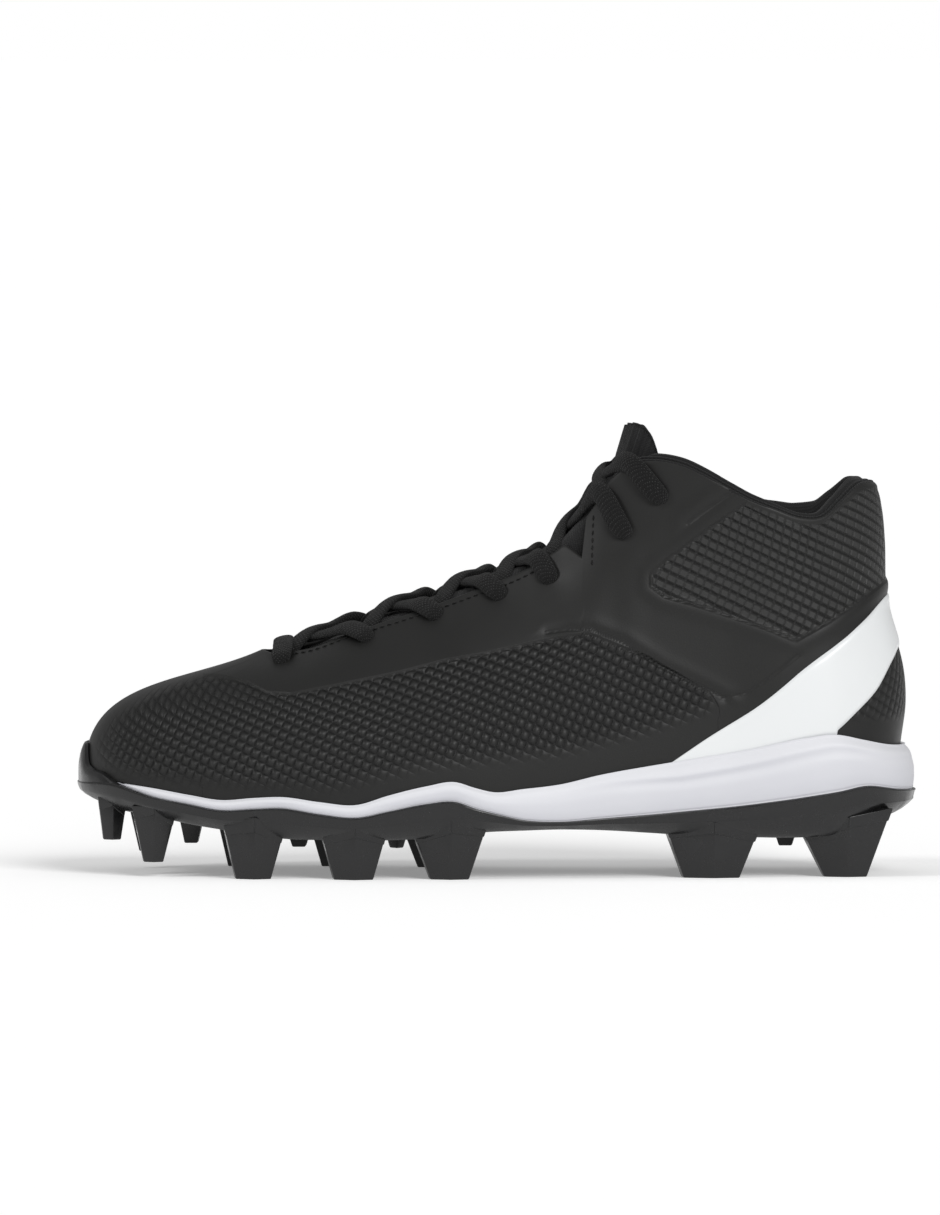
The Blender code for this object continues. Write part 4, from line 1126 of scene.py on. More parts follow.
def make_heel_band(columns=150, rows=26):
    start = band_edges(np.array([0.9]))[2] - 0.004
    side = np.linspace(start, 1.0, columns)
    ways = np.concatenate([side, 2 - side[-2::-1]])
    low, high, _ = band_edges(one_side(ways))
    shares = np.linspace(0, 1, rows)
    ups = np.array([up_at_height(ways, low + (high - low) * s) for s in shares])
    lift = np.full(ups.shape, BAND_THICK + 0.10 * MM)
    lift[0] = lift[-1] = -0.3 * MM
    lift[1] = lift[-2] = BAND_THICK - 0.15 * MM
    ups[1], ups[-2] = ups[0] * 0.97 + ups[2] * 0.03, ups[-1] * 0.97 + ups[-3] * 0.03
    points = above_upper(ways, ups, lift)
    return piece_from("film_band", points, grid_quads(rows, len(ways), False), [white_film],
                      {"cloth": cloth_numbers(points)})


film_band = make_heel_band()
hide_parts("heel_band")

# %% [markdown]
# The tongue is a soft padded sheet under the eyestay. It bulges a little between the throat's
# edges, and its free end stands up behind the top lace, in deep knitted ribs, with a rounded top.
# It could be a cloth simulation, but its shape is held by the laces, so a bent sheet with
# a thickness that changes along it does the job and always gives the same result.

# %% Tongue's form
TONGUE_THICK = 0.0045
TONGUE_GAP = 0.0010
TONGUE_SHEET = [(-1.0, 0.8), (-0.8, 0.9), (-0.6, 1.0), (0.6, 1.0), (0.8, 0.9), (1.0, 0.8)]
TONGUE_START = 0.13
TONGUE_BULGE = [
    (0.13, 0.00), (0.34, 0.16), (0.42, 0.20), (0.50, 0.20), (0.58, 0.20), (0.63, 0.17),
    (0.67, 0.26),
]
TONGUE_END = [(0.00, 1.00), (0.40, 1.00), (0.75, 0.95), (0.93, 0.75), (1.00, 0.35)]
TONGUE_TOP = (0.6535, 0.300, 0.040, 0.092)
TONGUE_TOP_RISE = 1.094


def tongue(way, across):
    """The tongue's outer face: under the throat's edges, and bulging between them."""
    way, across = np.broadcast_arrays(np.asarray(way, float), np.asarray(across, float))
    under = -(UPPER_WALL + TONGUE_GAP)
    knots, points = [], []
    for place, up in TONGUE_SHEET:
        side = way if place < 0 else 2 - way
        knots.append(place)
        points.append(above_upper(side, np.full(way.shape, up), np.full(way.shape, under)))
    left, right = topline(way), topline(2 - way)
    ahead = topline(way + 4e-3) - topline(way - 4e-3)
    ahead[..., 1] = 0
    ahead /= np.linalg.norm(ahead, axis=-1, keepdims=True)
    rise = np.stack([-ahead[..., 2], 0 * way, ahead[..., 0]], -1)
    share = smooth(column(TONGUE_BULGE, 0), column(TONGUE_BULGE, 1), way)
    bulge = share * (right[..., 1] - left[..., 1]) / 2 + under
    knots.insert(3, 0.0)
    points.insert(3, (left + right) / 2 + rise * bulge[..., None])
    sheet = np.moveaxis(np.array(points), 0, -1)
    found = np.empty(way.shape + (3,))
    for place in np.ndindex(way.shape):
        for axis in range(3):
            found[place + (axis,)] = smooth(knots, sheet[place + (axis,)], across[place])
    return found


def tongue_top(across):
    share, half, sweep, drop = TONGUE_TOP
    brow = 0.014 * np.clip(1 - np.abs(across) / 0.5, 0, 1) ** 2
    return np.stack([
        at_along(share + sweep * across ** 2),
        COLLAR_WIDTH * half * across,
        STUD_HEIGHT + COLLAR_HEIGHT * (TONGUE_TOP_RISE - brow - drop * np.abs(across) ** 7),
    ], -1)


print("tongue's top", np.round(1000 * tongue_top(np.array([0.0])), 1)[0], "mm")

# %% Tongue
def sheet_normals(face):
    down, side = np.gradient(face, axis=0), np.gradient(face, axis=1)
    normal = np.cross(side, down)
    return normal / np.linalg.norm(normal, axis=-1, keepdims=True)


def closed_sheet(face, back):
    """Points and faces of a padded sheet, its two faces joined round the border by a round edge."""
    rows, columns = face.shape[:2]
    border = [(r, 0) for r in range(rows)] + [(rows - 1, c) for c in range(1, columns)]
    border += [(r, columns - 1) for r in range(rows - 2, -1, -1)] + [(0, c) for c in range(columns - 2, 0, -1)]
    count = rows * columns
    quads = grid_quads(rows, columns, False)
    faces = quads.tolist() + (quads[:, ::-1] + count).tolist()
    row, place = np.array([b[0] for b in border]), np.array([b[1] for b in border])
    middle = (face[row, place] + back[row, place]) / 2
    inner = face[np.clip(row, 2, rows - 3), np.clip(place, 2, columns - 3)]
    away = middle - inner
    away /= np.linalg.norm(away, axis=-1, keepdims=True) + 1e-9
    half = np.linalg.norm(face[row, place] - back[row, place], axis=-1)[:, None] / 2
    round_edge = middle + away * half * 0.8
    points = np.concatenate([face.reshape(-1, 3), back.reshape(-1, 3), round_edge])
    total = len(border)
    for i in range(total):
        j = (i + 1) % total
        a, b = row[i] * columns + place[i], row[j] * columns + place[j]
        faces.append((a, 2 * count + i, 2 * count + j, b))
        faces.append((2 * count + i, count + a, count + b, 2 * count + j))
    return points, faces, total


def make_tongue(columns=61):
    ways = np.linspace(TONGUE_START + 0.008, THROAT_END - 0.012, 64)
    across = np.linspace(-1, 1, columns)
    ways_grid, across_grid = np.meshgrid(ways, across, indexing="ij")
    face = list(tongue(ways_grid, across_grid))
    last, top = face.pop(), tongue_top(across)
    shares = np.linspace(0, 1, 30)
    thick = [1.0] * len(face) + list(smooth(column(TONGUE_END, 0), column(TONGUE_END, 1), shares))
    face += [last + (top - last) * share for share in shares]
    face = np.array(face)
    normal = sheet_normals(face)
    stand = np.clip((np.arange(len(face)) - 60) / 12, 0, 1)[:, None]
    ribs = 0.45 * MM * np.cos(across * np.pi * 11)[None, :] * stand
    back = face + normal * (TONGUE_THICK * np.array(thick))[:, None, None]
    face = face - normal * ribs[..., None]
    points, faces, border = closed_sheet(face, back)
    numbers = cloth_numbers(face, stand).reshape(-1, 3)
    numbers = np.concatenate([numbers, numbers, np.resize(numbers, (border, 3))])
    return piece_from("knit_tongue", points, faces, [tongue_knit], {"cloth": numbers})


knit_tongue = make_tongue()
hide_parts("tongue")

# %% [markdown]
# The collar is lined with a padded knit that rolls over the skin's edge and makes the shoe's
# outline round the ankle. Two thin rolls of piping lie on its outer side along the topline.
# The pad is thickest just under its crest and thins out down the inside.

# %% Collar pad
PAD_START = 0.675
# up the rib, how far out from the last's surface in millimetres
PAD_LOOP = [
    (0.985, -2.4), (0.997, -2.3), (1.008, -2.6), (1.014, -3.4), (1.012, -4.6), (1.000, -5.6),
    (0.978, -6.4),
    (0.940, -6.8), (0.880, -6.7), (0.800, -5.6), (0.720, -4.2), (0.660, -3.0), (0.640, -2.3),
]


def make_collar_pad(columns=240):
    side = np.linspace(PAD_START - 0.012, 1.0, columns // 2)
    ways = np.concatenate([side, 2 - side[-2::-1]])
    knots = np.arange(len(PAD_LOOP))
    fine = np.linspace(0, len(PAD_LOOP) - 1, 44)
    ups = smooth(knots, column(PAD_LOOP, 0), fine)[:, None] * np.ones(len(ways))
    outs = smooth(knots, column(PAD_LOOP, 1), fine)[:, None] * MM * np.ones(len(ways))
    end = ease(one_side(ways), PAD_START - 0.012, PAD_START + 0.02)
    ups = 0.985 + (ups - 0.985) * (0.35 + 0.65 * end)
    heel = ease(one_side(ways), 0.90, 0.97)
    ups = ups + 0.010 * heel * ease(ups, 0.96, 1.0)
    outs = -2.3 * MM + (outs + 2.3 * MM) * (0.25 + 0.75 * end)
    points = above_upper(ways, ups, outs - heel_round(ways, ups))
    return piece_from("collar_lining", points, grid_quads(len(fine), len(ways), False), [collar_knit],
                      {"cloth": cloth_numbers(points)})


collar_lining = make_collar_pad()
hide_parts("collar_pad")

# %% [markdown]
# Piping and laces are long and thin, so one helper sweeps a closed section along a path. The path
# is a smooth curve through a few stops, and the section turns with the surface under it, so
# that a flat lace lies flat.

# %% Sweeping a section along a path
def smooth_path(stops, count):
    """Many points on a soft curve through a few stops, each a row of numbers."""
    stops = np.asarray(stops, float)
    place = np.concatenate([[0], np.cumsum(np.linalg.norm(np.diff(stops[:, :3], axis=0), axis=1))])
    fine = np.linspace(0, place[-1], count)
    return np.stack([smooth(place, stops[:, k], fine) for k in range(stops.shape[1])], -1)


def sweep_section(path, normals, wide, thick, steps=16, square=2.5):
    """Rings of a rounded section along a path, its thickness along the normals."""
    ahead = np.gradient(path, axis=0)
    ahead /= np.linalg.norm(ahead, axis=-1, keepdims=True)
    side = np.cross(ahead, normals)
    side /= np.linalg.norm(side, axis=-1, keepdims=True)
    up = np.cross(side, ahead)
    turns = np.arange(steps) / steps * 2 * np.pi
    across = np.sign(np.cos(turns)) * np.abs(np.cos(turns)) ** (2 / square)
    rise = np.sign(np.sin(turns)) * np.abs(np.sin(turns)) ** (2 / square)
    return (
        path[:, None]
        + side[:, None] * (across[None, :] * wide[:, None] / 2)[..., None]
        + up[:, None] * (rise[None, :] * thick[:, None] / 2)[..., None]
    )


def swept_numbers(rings):
    """Metres round and along each ring's points."""
    numbers = cloth_numbers(np.concatenate([rings, rings[:, :1]], axis=1))
    return numbers[:, :-1]


def capped_tube(rings):
    count, steps = rings.shape[:2]
    faces = grid_quads(count, steps, True).tolist()
    faces.append(list(range(steps))[::-1])
    faces.append([(count - 1) * steps + i for i in range(steps)])
    return faces


print("sweep helpers ready")

# %% Piping
def make_piping():
    points, faces, numbers = [], [], []
    side = np.linspace(0.648, 1.0, 120)
    ways = np.concatenate([side, 2 - side[-2::-1]])
    for up, out, thick in ((0.994, -0.55, 1.00), (1.002, -1.50, 1.05)):
        ups = up + 0.006 * ease(one_side(ways), 0.90, 0.97)
        path = above_upper(ways, ups, out * MM - heel_round(ways, ups))
        normals = upper_normal(ways, np.full(ways.shape, up))
        size = np.full(len(path), thick * MM)
        rings = sweep_section(path, normals, size * 1.1, size, 12, 2.0)
        base = sum(len(p) for p in points)
        faces += [[base + i for i in face] for face in capped_tube(rings)]
        points.append(rings.reshape(-1, 3))
        numbers.append(swept_numbers(rings).reshape(-1, 3))
    return piece_from("collar_piping", np.concatenate(points), faces, [collar_knit],
                      {"cloth": np.concatenate(numbers)})


collar_piping = make_piping()

# %% [markdown]
# A row of stitches runs just inside the eyestay's edge, and another behind the notch. Each stitch
# is a short thread that comes up out of the skin and goes down again.

# %% Stitches
STITCH_PITCH = 2.7 * MM
STITCH_LENGTH = 1.9 * MM
STITCH_INSET = 2.3 * MM


def stitch_lines():
    """The rows' stations and shares up the rib, on the outer side."""
    edge = np.linspace(0.215, 0.572, 400)
    speed = np.linalg.norm(upper(edge, 0.99) - upper(edge, 0.96), axis=-1) / 0.03
    notch_way = np.full(80, NOTCH[2][0] + 0.010)
    bottom = up_at_height(notch_way[:1], STUD_HEIGHT + COLLAR_HEIGHT * NOTCH[1][1] - 2 * MM)[0]
    return [(edge, 0.99 - STITCH_INSET / speed), (notch_way, np.linspace(bottom, 0.975, 80))]


def make_stitches():
    points, faces, numbers = [], [], []
    for way, up in stitch_lines():
        for place in (way, 2 - way):
            line, normal = upper(place, up), upper_normal(place, up)
            length = np.concatenate([[0], np.cumsum(np.linalg.norm(np.diff(line, axis=0), axis=1))])
            for start in np.arange(0, length[-1] - STITCH_LENGTH, STITCH_PITCH):
                share = np.linspace(0, 1, 7)
                at = start + share * STITCH_LENGTH
                path = np.stack([np.interp(at, length, line[:, k]) for k in range(3)], -1)
                out = np.stack([np.interp(at, length, normal[:, k]) for k in range(3)], -1)
                path = path + out * (0.50 * MM * np.sin(share * np.pi) - 0.25 * MM)[:, None]
                rings = sweep_section(path, out, np.full(7, 0.60 * MM), np.full(7, 0.50 * MM), 6, 2.0)
                base = sum(len(p) for p in points)
                faces += [[base + i for i in face] for face in capped_tube(rings)]
                points.append(rings.reshape(-1, 3))
                numbers.append(swept_numbers(rings).reshape(-1, 3))
    return piece_from("eyestay_stitches", np.concatenate(points), faces, [lace_braid],
                      {"cloth": np.concatenate(numbers)})


eyestay_stitches = make_stitches()

# %% [markdown]
# One lace runs through fourteen eyelets. At the toe it makes a straight bar. Then each end comes
# up from under the eyestay, crosses the tongue, climbs over the other side's edge and goes down
# into the next eyelet from outside. Its ends are inside the shoe, behind the top eyelets.
# A lace could hang by simulation, but one that is pulled tight has no slack to find, so each
# stretch is a curve through given stops: a rise over its twin where they cross,
# a rounded hump at the eyelet, and a dive through the hole where it is squeezed narrow.

# %% Lace stops
LACE_WIDTH = 0.0074
LACE_THICK = 0.0030
SQUEEZED = (0.0050, 0.0036)


def on_upper(way, up, lift, wide=LACE_WIDTH, thick=LACE_THICK):
    """A stop on the skin: place, normal, and the lace's width and thickness there."""
    normal = upper_normal(way, np.array(up))
    place = upper(way, np.array(up)) + normal * (lift + thick / 2)
    return np.concatenate([place, normal, [wide, thick]])


def over_throat(way, across, lift, wide=LACE_WIDTH, thick=LACE_THICK):
    """A stop on the straight line from one throat edge to the other, arched up a little."""
    left, right = topline(way), topline(2 - way)
    ahead = topline(way + 4e-3) - topline(way - 4e-3)
    rise = np.array([-ahead[2], 0.0, ahead[0]]) / np.hypot(ahead[0], ahead[2])
    place = (left + right) / 2 + (right - left) / 2 * across
    arch = 1.0 * MM * (1 - across ** 2)
    tip = rise + np.array([0.0, 0.35 * across, 0.0])
    return np.concatenate([
        place + rise * (lift + arch + thick / 2), tip / np.linalg.norm(tip), [wide, thick],
    ])


def into_eyelet(number, side, ahead):
    """The last stops of a stretch: a hump at the eyelet's rim, then the dive through the hole."""
    way, up = eyelet_places[number]
    place = way if side < 0 else 2 - way
    centre, axis = upper(place, up), upper_normal(place, up)
    ahead = ahead - (ahead @ axis) * axis
    ahead = ahead / np.linalg.norm(ahead)
    wide, thick = SQUEEZED
    back = 0.55 * axis - 0.85 * ahead
    return [
        np.concatenate([
            centre - ahead * 2.6 * MM + axis * (LACE_THICK / 2 + 0.1 * MM), axis, [LACE_WIDTH, LACE_THICK],
        ]),
        np.concatenate([
            centre + ahead * 0.1 * MM + axis * 1.05 * MM, axis + 0.5 * ahead, [LACE_WIDTH * 0.92, LACE_THICK],
        ]),
        np.concatenate([
            centre + ahead * 1.00 * MM - axis * 0.5 * MM, ahead + 0.3 * axis, [wide * 1.15, thick],
        ]),
        np.concatenate([centre + ahead * 0.6 * MM - axis * 2.6 * MM, ahead, [wide, thick]]),
        np.concatenate([centre - ahead * 0.2 * MM - axis * 5.2 * MM, ahead, [wide, thick * 0.8]]),
    ]


print("a lace", LACE_WIDTH / MM, "mm wide")

# %% Laces
LACE_SAMPLES = 84


# The stations at which the laces that end at eyelets 2 to 7 lie over the throat's edge
LACE_CROSSING = [0.340, 0.415, 0.490, 0.556, 0.634, 0.666]


def stretch_of_lace(number, side):
    """One lace from under the eyestay at one eyelet to the next eyelet across."""
    low = EYELETS[number][2]
    (high_way, high_up), high = eyelet_places[number + 1], EYELETS[number + 1][2]
    step = high - low
    other = (lambda way: 2 - way) if side < 0 else (lambda way: way)
    over = LACE_THICK * 0.75 if side < 0 else 0.0
    cross = LACE_CROSSING[number]
    stops = [
        over_throat(low + step * 0.02, 0.96 * side, -6.4 * MM, thick=LACE_THICK * 0.8),
        over_throat(low + step * 0.10, 0.76 * side, -2.8 * MM),
        over_throat(low + step * 0.26, 0.40 * side, -0.7 * MM + over * 0.3),
        over_throat(low + step * 0.46, 0.00, -0.4 * MM + over),
        over_throat(low + step * 0.68, -0.50 * side, -0.2 * MM + over * 0.3),
        on_upper(other(cross), 0.995, 0.25 * MM),
    ]
    target = upper(other(high_way), high_up)
    stops += into_eyelet(number + 1, -side, target - stops[-1][:3])
    return stops


def bar_of_lace():
    way, _ = eyelet_places[0]
    cross = EYELETS[0][2]
    stops = []
    for side in (-1, 1):
        station = cross if side < 0 else 2 - cross
        edge = on_upper(station, 0.995, 0.25 * MM)
        half = [edge] + into_eyelet(0, side, upper(*eyelet_side(0, side)) - edge[:3])
        stops = half[::-1] + [over_throat(cross, 0.0, 0.4 * MM)] if side < 0 else stops + half
    return stops


def eyelet_side(number, side):
    way, up = eyelet_places[number]
    return (way if side < 0 else 2 - way), up


def make_lace(name, all_stops):
    points, faces, numbers, length = [], [], [], 0.0
    for stops in all_stops:
        fine = smooth_path(stops, LACE_SAMPLES)
        rings = sweep_section(fine[:, :3], fine[:, 3:6], fine[:, 6], fine[:, 7], 20, 2.1)
        base = sum(len(p) for p in points)
        faces += [[base + i for i in face] for face in capped_tube(rings)]
        points.append(rings.reshape(-1, 3))
        numbers.append(swept_numbers(rings).reshape(-1, 3))
        length += float(np.linalg.norm(np.diff(fine[:, :3], axis=0), axis=1).sum())
    made = piece_from(
        name, np.concatenate(points), faces, [lace_braid], {"cloth": np.concatenate(numbers)}
    )
    return made, length


lace_bar, lace_length = make_lace("lace_bar_braid", [bar_of_lace()])
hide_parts("lace_bar")
for number in range(len(EYELETS) - 1):
    pair = [stretch_of_lace(number, 1), stretch_of_lace(number, -1)]
    crossing, length = make_lace(f"lace_crossing_{number + 1}", pair)
    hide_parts(f"lace_cross_{number + 1}")
    lace_length += length
print("lace drawn", round(1000 * lace_length), "mm of it")

# %% [markdown]
# The midsole is a white foam rim under the skin: thin at the toe, in two waves along the
# forefoot, and thick at the heel. Its rings run from the footbed out over the rim and
# down the side to the joint with the plate. Near the heel a soft edge runs up along its side.

# %% Foam midsole
MIDSOLE_SIDE = [(0.00, 0.93), (0.30, 1.00), (0.60, 0.92), (0.85, 0.62), (1.00, 0.20)]
# along, height as a share of the rim's height above the joint, of the soft edge on the side
FOAM_EDGE = [(0.60, 0.97), (0.72, 0.80), (0.83, 0.86), (0.905, 0.93), (0.95, 0.88)]


def edge_out(number, way):
    return HEEL_FLARE * smooth(column(SOLE_EDGE, 0), column(SOLE_EDGE, number), one_side(way))


def joint_ring(ways, drop):
    """Where midsole and plate meet at the side, and the same joint inside, lowered by drop."""
    x = foot_x(ways)
    stand = edge_out(1, ways) * np.where(edge_out(1, ways) > 0, MIDSOLE_SIDE[0][1], 1)
    side = beside_upper(ways, level(JOINT, x) - drop, stand)
    inside = beside_upper(ways, level(CORE, x) - drop, np.full(ways.shape, -CORE_INSET))
    return side, inside


def sole_ways(steps):
    side = np.arange(steps // 2) / (steps // 2)
    side[np.argmin(np.abs(side - RIM_START))] = RIM_START
    return np.concatenate([side, 2 - np.concatenate([[1.0], side[:0:-1]])])


def ring_faces(rows, steps):
    """Faces of stacked closed rings, ruled across at both ends."""
    half = steps // 2
    faces = grid_quads(rows, steps, True).tolist()
    for base in (0, (rows - 1) * steps):
        for i in range(half):
            across = [base + i, base + i + 1, base + steps - i - 1, base + (steps - i) % steps]
            faces.append(list(dict.fromkeys(across)))
    return faces


def make_foam(steps=420):
    ways = sole_ways(steps)
    x, out = foot_x(ways), edge_out(1, ways)
    bed, joint = level(BED, x), level(JOINT, x)
    rim = np.where(one_side(ways) > RIM_START, level(RIM, x), bed)
    seat = np.where(out > GAP, GAP, out - GAP)
    rings = [beside_upper(ways, bed, seat), beside_upper(ways, rim - 0.5 * MM, seat)]
    knots, shares = column(MIDSOLE_SIDE, 0), column(MIDSOLE_SIDE, 1)
    edge = np.interp(share_of(x), column(FOAM_EDGE, 0), column(FOAM_EDGE, 1))
    strength = ease(share_of(x), 0.58, 0.74) * ease(-share_of(x), -0.955, -0.915)
    rows = np.concatenate([np.linspace(1.0, 0.90, 5), np.linspace(0.88, 0.06, 21), [0.03, 0.0]])
    for up in rows:
        share = smooth(knots, shares, up) + 0.10 * ease(up, 0.985, 1.0)
        crest = 0.30 * MM * strength * bead(up - edge + 0.10, 0.055)
        trough = -0.30 * MM * strength * bead(up - edge + 0.24, 0.09)
        tuck = -0.35 * MM * ease(-up, -0.03, 0.0)
        stand = np.where(out > GAP, np.maximum(out * share, seat + GAP) + crest + trough + tuck, out)
        rings.append(beside_upper(ways, joint + (rim - joint) * up, stand))
    rings += joint_ring(ways, 0)
    points = np.array(rings)
    return piece_from("foam_rim", points, ring_faces(len(points), steps), [white_foam])


foam_rim = make_foam()
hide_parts("midsole")

# %% [markdown]
# The plate is one moulding with its studs. The plate's side has a sharp lip at the joint, a
# hollow under it and an edge where it turns under. It is drawn with rings again, and the bumper
# at the toe is a closed sheet over the skin.

# %% Plate and toe bumper
OUTSOLE_SIDE = [(0.00, 0.00), (0.15, 0.07), (0.40, -0.04), (0.75, -0.45), (1.00, -1.05)]
# down the side, change in standing out in millimetres, for the lip and the folded edge
PLATE_DETAIL = [
    (0.00, -0.25), (0.03, 0.42), (0.07, 0.36), (0.13, -0.12), (0.25, -0.30), (0.38, -0.10),
    (0.46, 0.25),
    (0.52, 0.05), (0.70, -0.15), (0.88, 0.10), (0.95, 0.05), (1.00, -0.45),
]
TOE_WRAP = [
    (0.000, 0.836), (0.030, 0.826), (0.038, 0.760), (0.046, 0.680), (0.060, 0.630), (0.090, 0.590),
    (0.105, 0.536), (0.114, 0.505),
]
WRAP_FOOT, WRAP_THICK = 0.455, 0.0020


def make_plate(steps=420):
    ways = sole_ways(steps)
    x = foot_x(ways)
    joint, plate = level(JOINT, x) - 0.1 * MM, level(PLATE, x)
    rings = [beside_upper(ways, plate, edge_out(2, ways) - HEEL_FLARE * 1.05 - 2.5 * MM)]
    for down, change in reversed(PLATE_DETAIL):
        broad = smooth(column(OUTSOLE_SIDE, 0), column(OUTSOLE_SIDE, 1), down)
        stand = edge_out(2, ways) + HEEL_FLARE * broad + change * MM * ease(edge_out(2, ways), 1.5 * MM, 3.5 * MM)
        rings.append(beside_upper(ways, joint - (joint - plate) * down, stand))
    side, inside = joint_ring(ways, 0.1 * MM)
    rings += [side, inside]
    points = np.array(rings)
    return points.reshape(-1, 3), ring_faces(len(points), steps)


def make_bumper(columns=61, rows=15):
    ways = np.linspace(-0.114, 0.114, columns)
    top = STUD_HEIGHT + SOLE_DEPTH * smooth(column(TOE_WRAP, 0), column(TOE_WRAP, 1), np.abs(ways))
    foot = STUD_HEIGHT + SOLE_DEPTH * WRAP_FOOT
    face, back = [], []
    for share in np.linspace(0, 1, rows):
        z = foot + (top - foot) * share
        thick = WRAP_THICK * (1 - 0.35 * share ** 4)
        back.append(beside_upper(ways, z, np.full(ways.shape, 0.1 * MM)))
        face.append(beside_upper(ways, z, np.full(ways.shape, GAP + thick)))
    points, faces, _ = closed_sheet(np.array(face)[:, ::-1], np.array(back)[:, ::-1])
    return points, faces


plate_points, plate_faces = make_plate()
bumper_points, bumper_faces = make_bumper()
print(len(plate_points), "points on the plate,", len(bumper_points), "on the bumper")

# %% [markdown]
# Each stud is a tapering block with a folded outer face. The plate overhangs that face in a peaked
# eave. The bevel operator rounds its edges, so that they catch the light.

# %% Studs
# name, along, across, length and width at the root, height of the foot, taper
STUDS = [
    ("toe_outer", 0.042, -0.150, 0.75, 0.80, 0.90, 0.62),
    ("toe_inner", 0.040, 0.230, 0.75, 0.80, 0.90, 0.62),
    ("front_outer", 0.092, -0.270, 1.15, 1.10, 0.38, 0.45),
    ("front_inner", 0.084, 0.335, 1.15, 1.10, 0.42, 0.45),
    ("ball_outer", 0.211, -0.385, 1.60, 1.25, 0.00, 0.58),
    ("ball_inner", 0.200, 0.425, 1.60, 1.25, 0.00, 0.58),
    ("tread_outer", 0.330, -0.430, 1.72, 1.25, 0.00, 0.60),
    ("tread_inner", 0.315, 0.420, 1.72, 1.25, 0.00, 0.60),
    ("waist_outer", 0.444, -0.420, 1.95, 1.25, 0.00, 0.52),
    ("waist_inner", 0.430, 0.355, 1.95, 1.25, 0.00, 0.52),
    ("heel_front_outer", 0.755, -0.460, 2.45, 1.20, 0.00, 0.60),
    ("heel_front_inner", 0.755, 0.430, 2.45, 1.20, 0.00, 0.60),
    ("heel_back_outer", 0.915, -0.370, 2.38, 1.30, 0.00, 0.47),
    ("heel_back_inner", 0.915, 0.370, 2.38, 1.30, 0.00, 0.47),
    ("lug_toe", 0.136, 0.060, 0.70, 1.40, 0.74, 0.50),
    ("lug_ball", 0.265, 0.020, 0.70, 1.60, 0.66, 0.50),
    ("lug_tread", 0.381, -0.010, 0.70, 1.60, 0.64, 0.50),
    ("lug_heel", 0.846, 0.000, 0.70, 1.40, 0.70, 0.50),
]
STUD_PLAN = [
    (-0.50, -0.45, 0.00), (-0.46, 0.18, 0.00), (0.04, 0.50, 0.26), (0.50, 0.22, 0.00),
    (0.44, -0.45, 0.00),
]
STUD_ROOT = 0.0030


def bevelled_hull(points, rounding):
    """Points and faces of the convex block round some corners, its edges rounded."""
    shape = bmesh.new()
    for place in points:
        shape.verts.new(place)
    bmesh.ops.convex_hull(shape, input=shape.verts)
    bmesh.ops.dissolve_limit(shape, angle_limit=np.radians(4), verts=shape.verts, edges=shape.edges)
    sharp = [edge for edge in shape.edges if edge.calc_face_angle(0) > np.radians(9)]
    bmesh.ops.bevel(shape, geom=sharp, offset=rounding, segments=3, profile=0.6, affect="EDGES",
                    clamp_overlap=True)
    bmesh.ops.recalc_face_normals(shape, faces=shape.faces)
    shape.verts.index_update()
    found = [tuple(v.co) for v in shape.verts], [[v.index for v in f.verts] for f in shape.faces]
    shape.free()
    return found


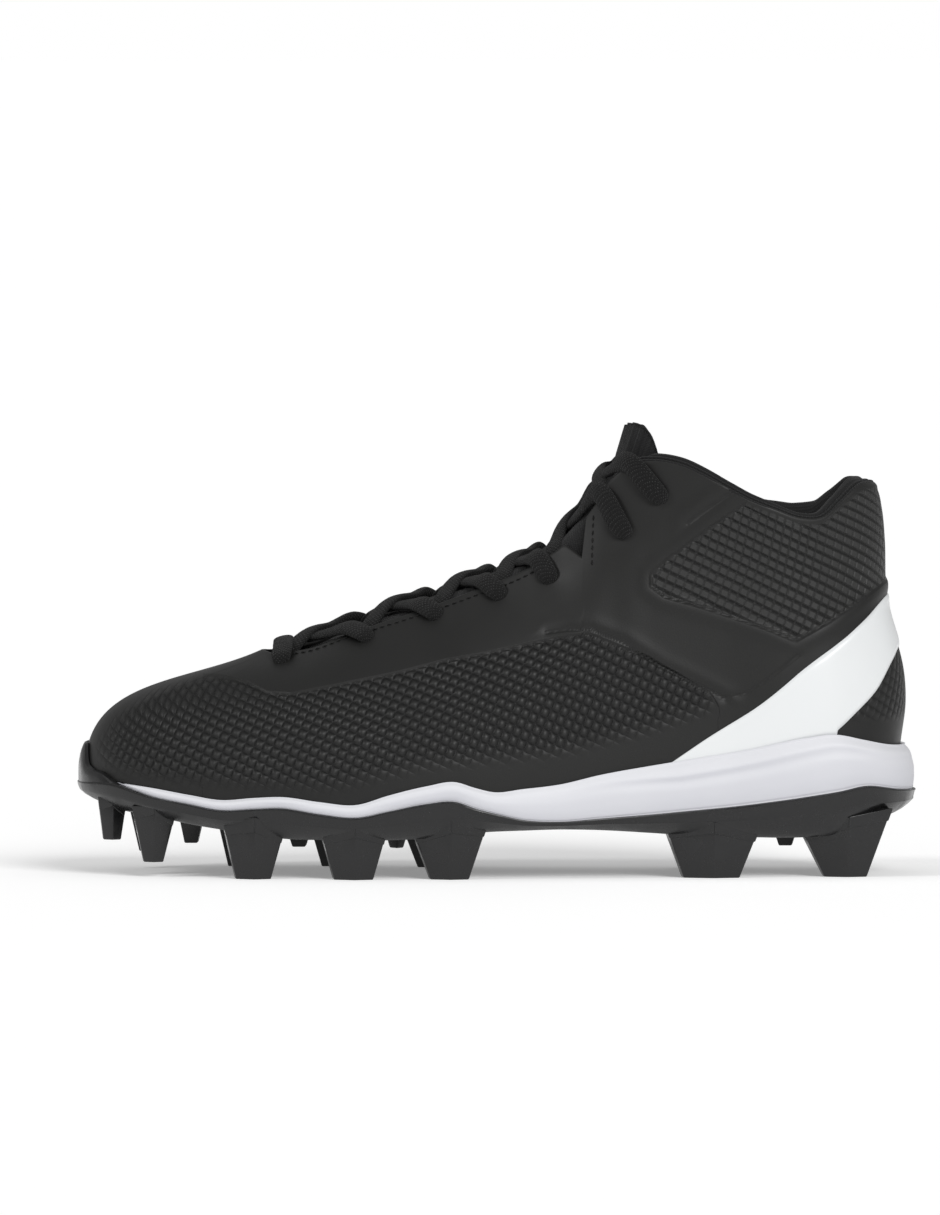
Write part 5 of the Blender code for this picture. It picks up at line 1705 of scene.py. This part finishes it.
def stud_blocks(share, across, long, wide, foot_rise, taper):
    """A stud's block, and the eaves over its two outer faces where the plate overhangs it."""
    x, y = at_along(share), across * width_at(share)
    side = -1 if across < 0 else 1
    block, heads = [], []
    for px, py, lift in STUD_PLAN:
        px, py = px * long * STUD_HEIGHT, py * side * wide * STUD_HEIGHT
        high = min(level(PLATE, x + px) + STUD_ROOT + lift * STUD_HEIGHT,
                   level(JOINT, x + px) - GAP * 2, level(CORE, x + px) - GAP * 2)
        foot = STUD_HEIGHT * foot_rise
        block.append((x + px, y + py, high))
        block.append((x + px * taper, y + py * taper, foot))
        heads.append((px, py, high, level(PLATE, x + px) + lift * STUD_HEIGHT * 0.75, foot))
    blocks = [(block, 0.55 * MM)]
    for first, second in ((1, 2), (2, 3)):
        eave = []
        for px, py, high, plate, foot in (heads[first], heads[second]):
            low = plate - min(1.6 * MM, (plate - foot) * 0.25)
            narrow = taper + (1 - taper) * (low - foot) / (high - foot)
            for out, z in ((1.03, high), (narrow + 0.03, low), (0.55, high), (0.55, low)):
                eave.append((x + px * out, y + py * out, z))
        blocks.append((eave, 0.30 * MM))
    return blocks


def make_outsole():
    points, faces = [plate_points, bumper_points], plate_faces + (
        [[i + len(plate_points) for i in face] for face in bumper_faces])
    count = len(plate_points) + len(bumper_points)
    for row in STUDS:
        for block, rounding in stud_blocks(*row[1:]):
            found, found_faces = bevelled_hull(block, rounding)
            faces += [[i + count for i in face] for face in found_faces]
            points.append(np.array(found))
            count += len(found)
    made = piece_from("moulded_outsole", np.concatenate(points), faces, [moulded_plate])
    made.data.set_sharp_from_angle(angle=np.radians(32))
    return made


moulded_outsole = make_outsole()
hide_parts("outsole")

# %% [markdown]
# The insole shows through the collar: a thin foam sheet covered in cloth, a little dished under
# the heel. It is a pair of rings like the midsole's, with many more across.

# %% Insole
INSOLE_THICK = 0.0040


def make_insole(steps=240, across=12):
    ways = sole_ways(steps)
    x = foot_x(ways)
    base = level(BED, x) + GAP
    inset = UPPER_WALL + GAP * 2
    edge = beside_upper(ways, base + INSOLE_THICK, np.full(ways.shape, -inset))
    rings = [beside_upper(ways, base, np.full(ways.shape, -inset)), edge - [0, 0, 0.5 * MM]]
    spine = edge.copy()
    spine[:, 1] = (edge[:, 1] + edge[(-np.arange(steps)) % steps, 1]) / 2
    for share in np.linspace(0.02, 0.98, across):
        ring = edge * (1 - share) + spine * share
        ring[:, 2] -= 1.2 * MM * share * (2 - share) * ease(share_of(x), 0.60, 0.85)
        rings.append(ring)
    points = np.array(rings)
    made = piece_from("insole_cloth", points, ring_faces(len(points), steps), [lining_cloth],
                      {"cloth": np.stack([points[..., 0], points[..., 1], 0 * points[..., 0]], -1)})
    return made


insole_cloth = make_insole()
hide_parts("insole")

# %% Measure and finish
dressed_box = [list(map(float, corner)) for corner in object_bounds()]
grown = (np.array(dressed_box) - np.array(solids_box)) / MM
print("dressed shoe grows by", np.round(grown[0], 2), np.round(grown[1], 2), "mm")
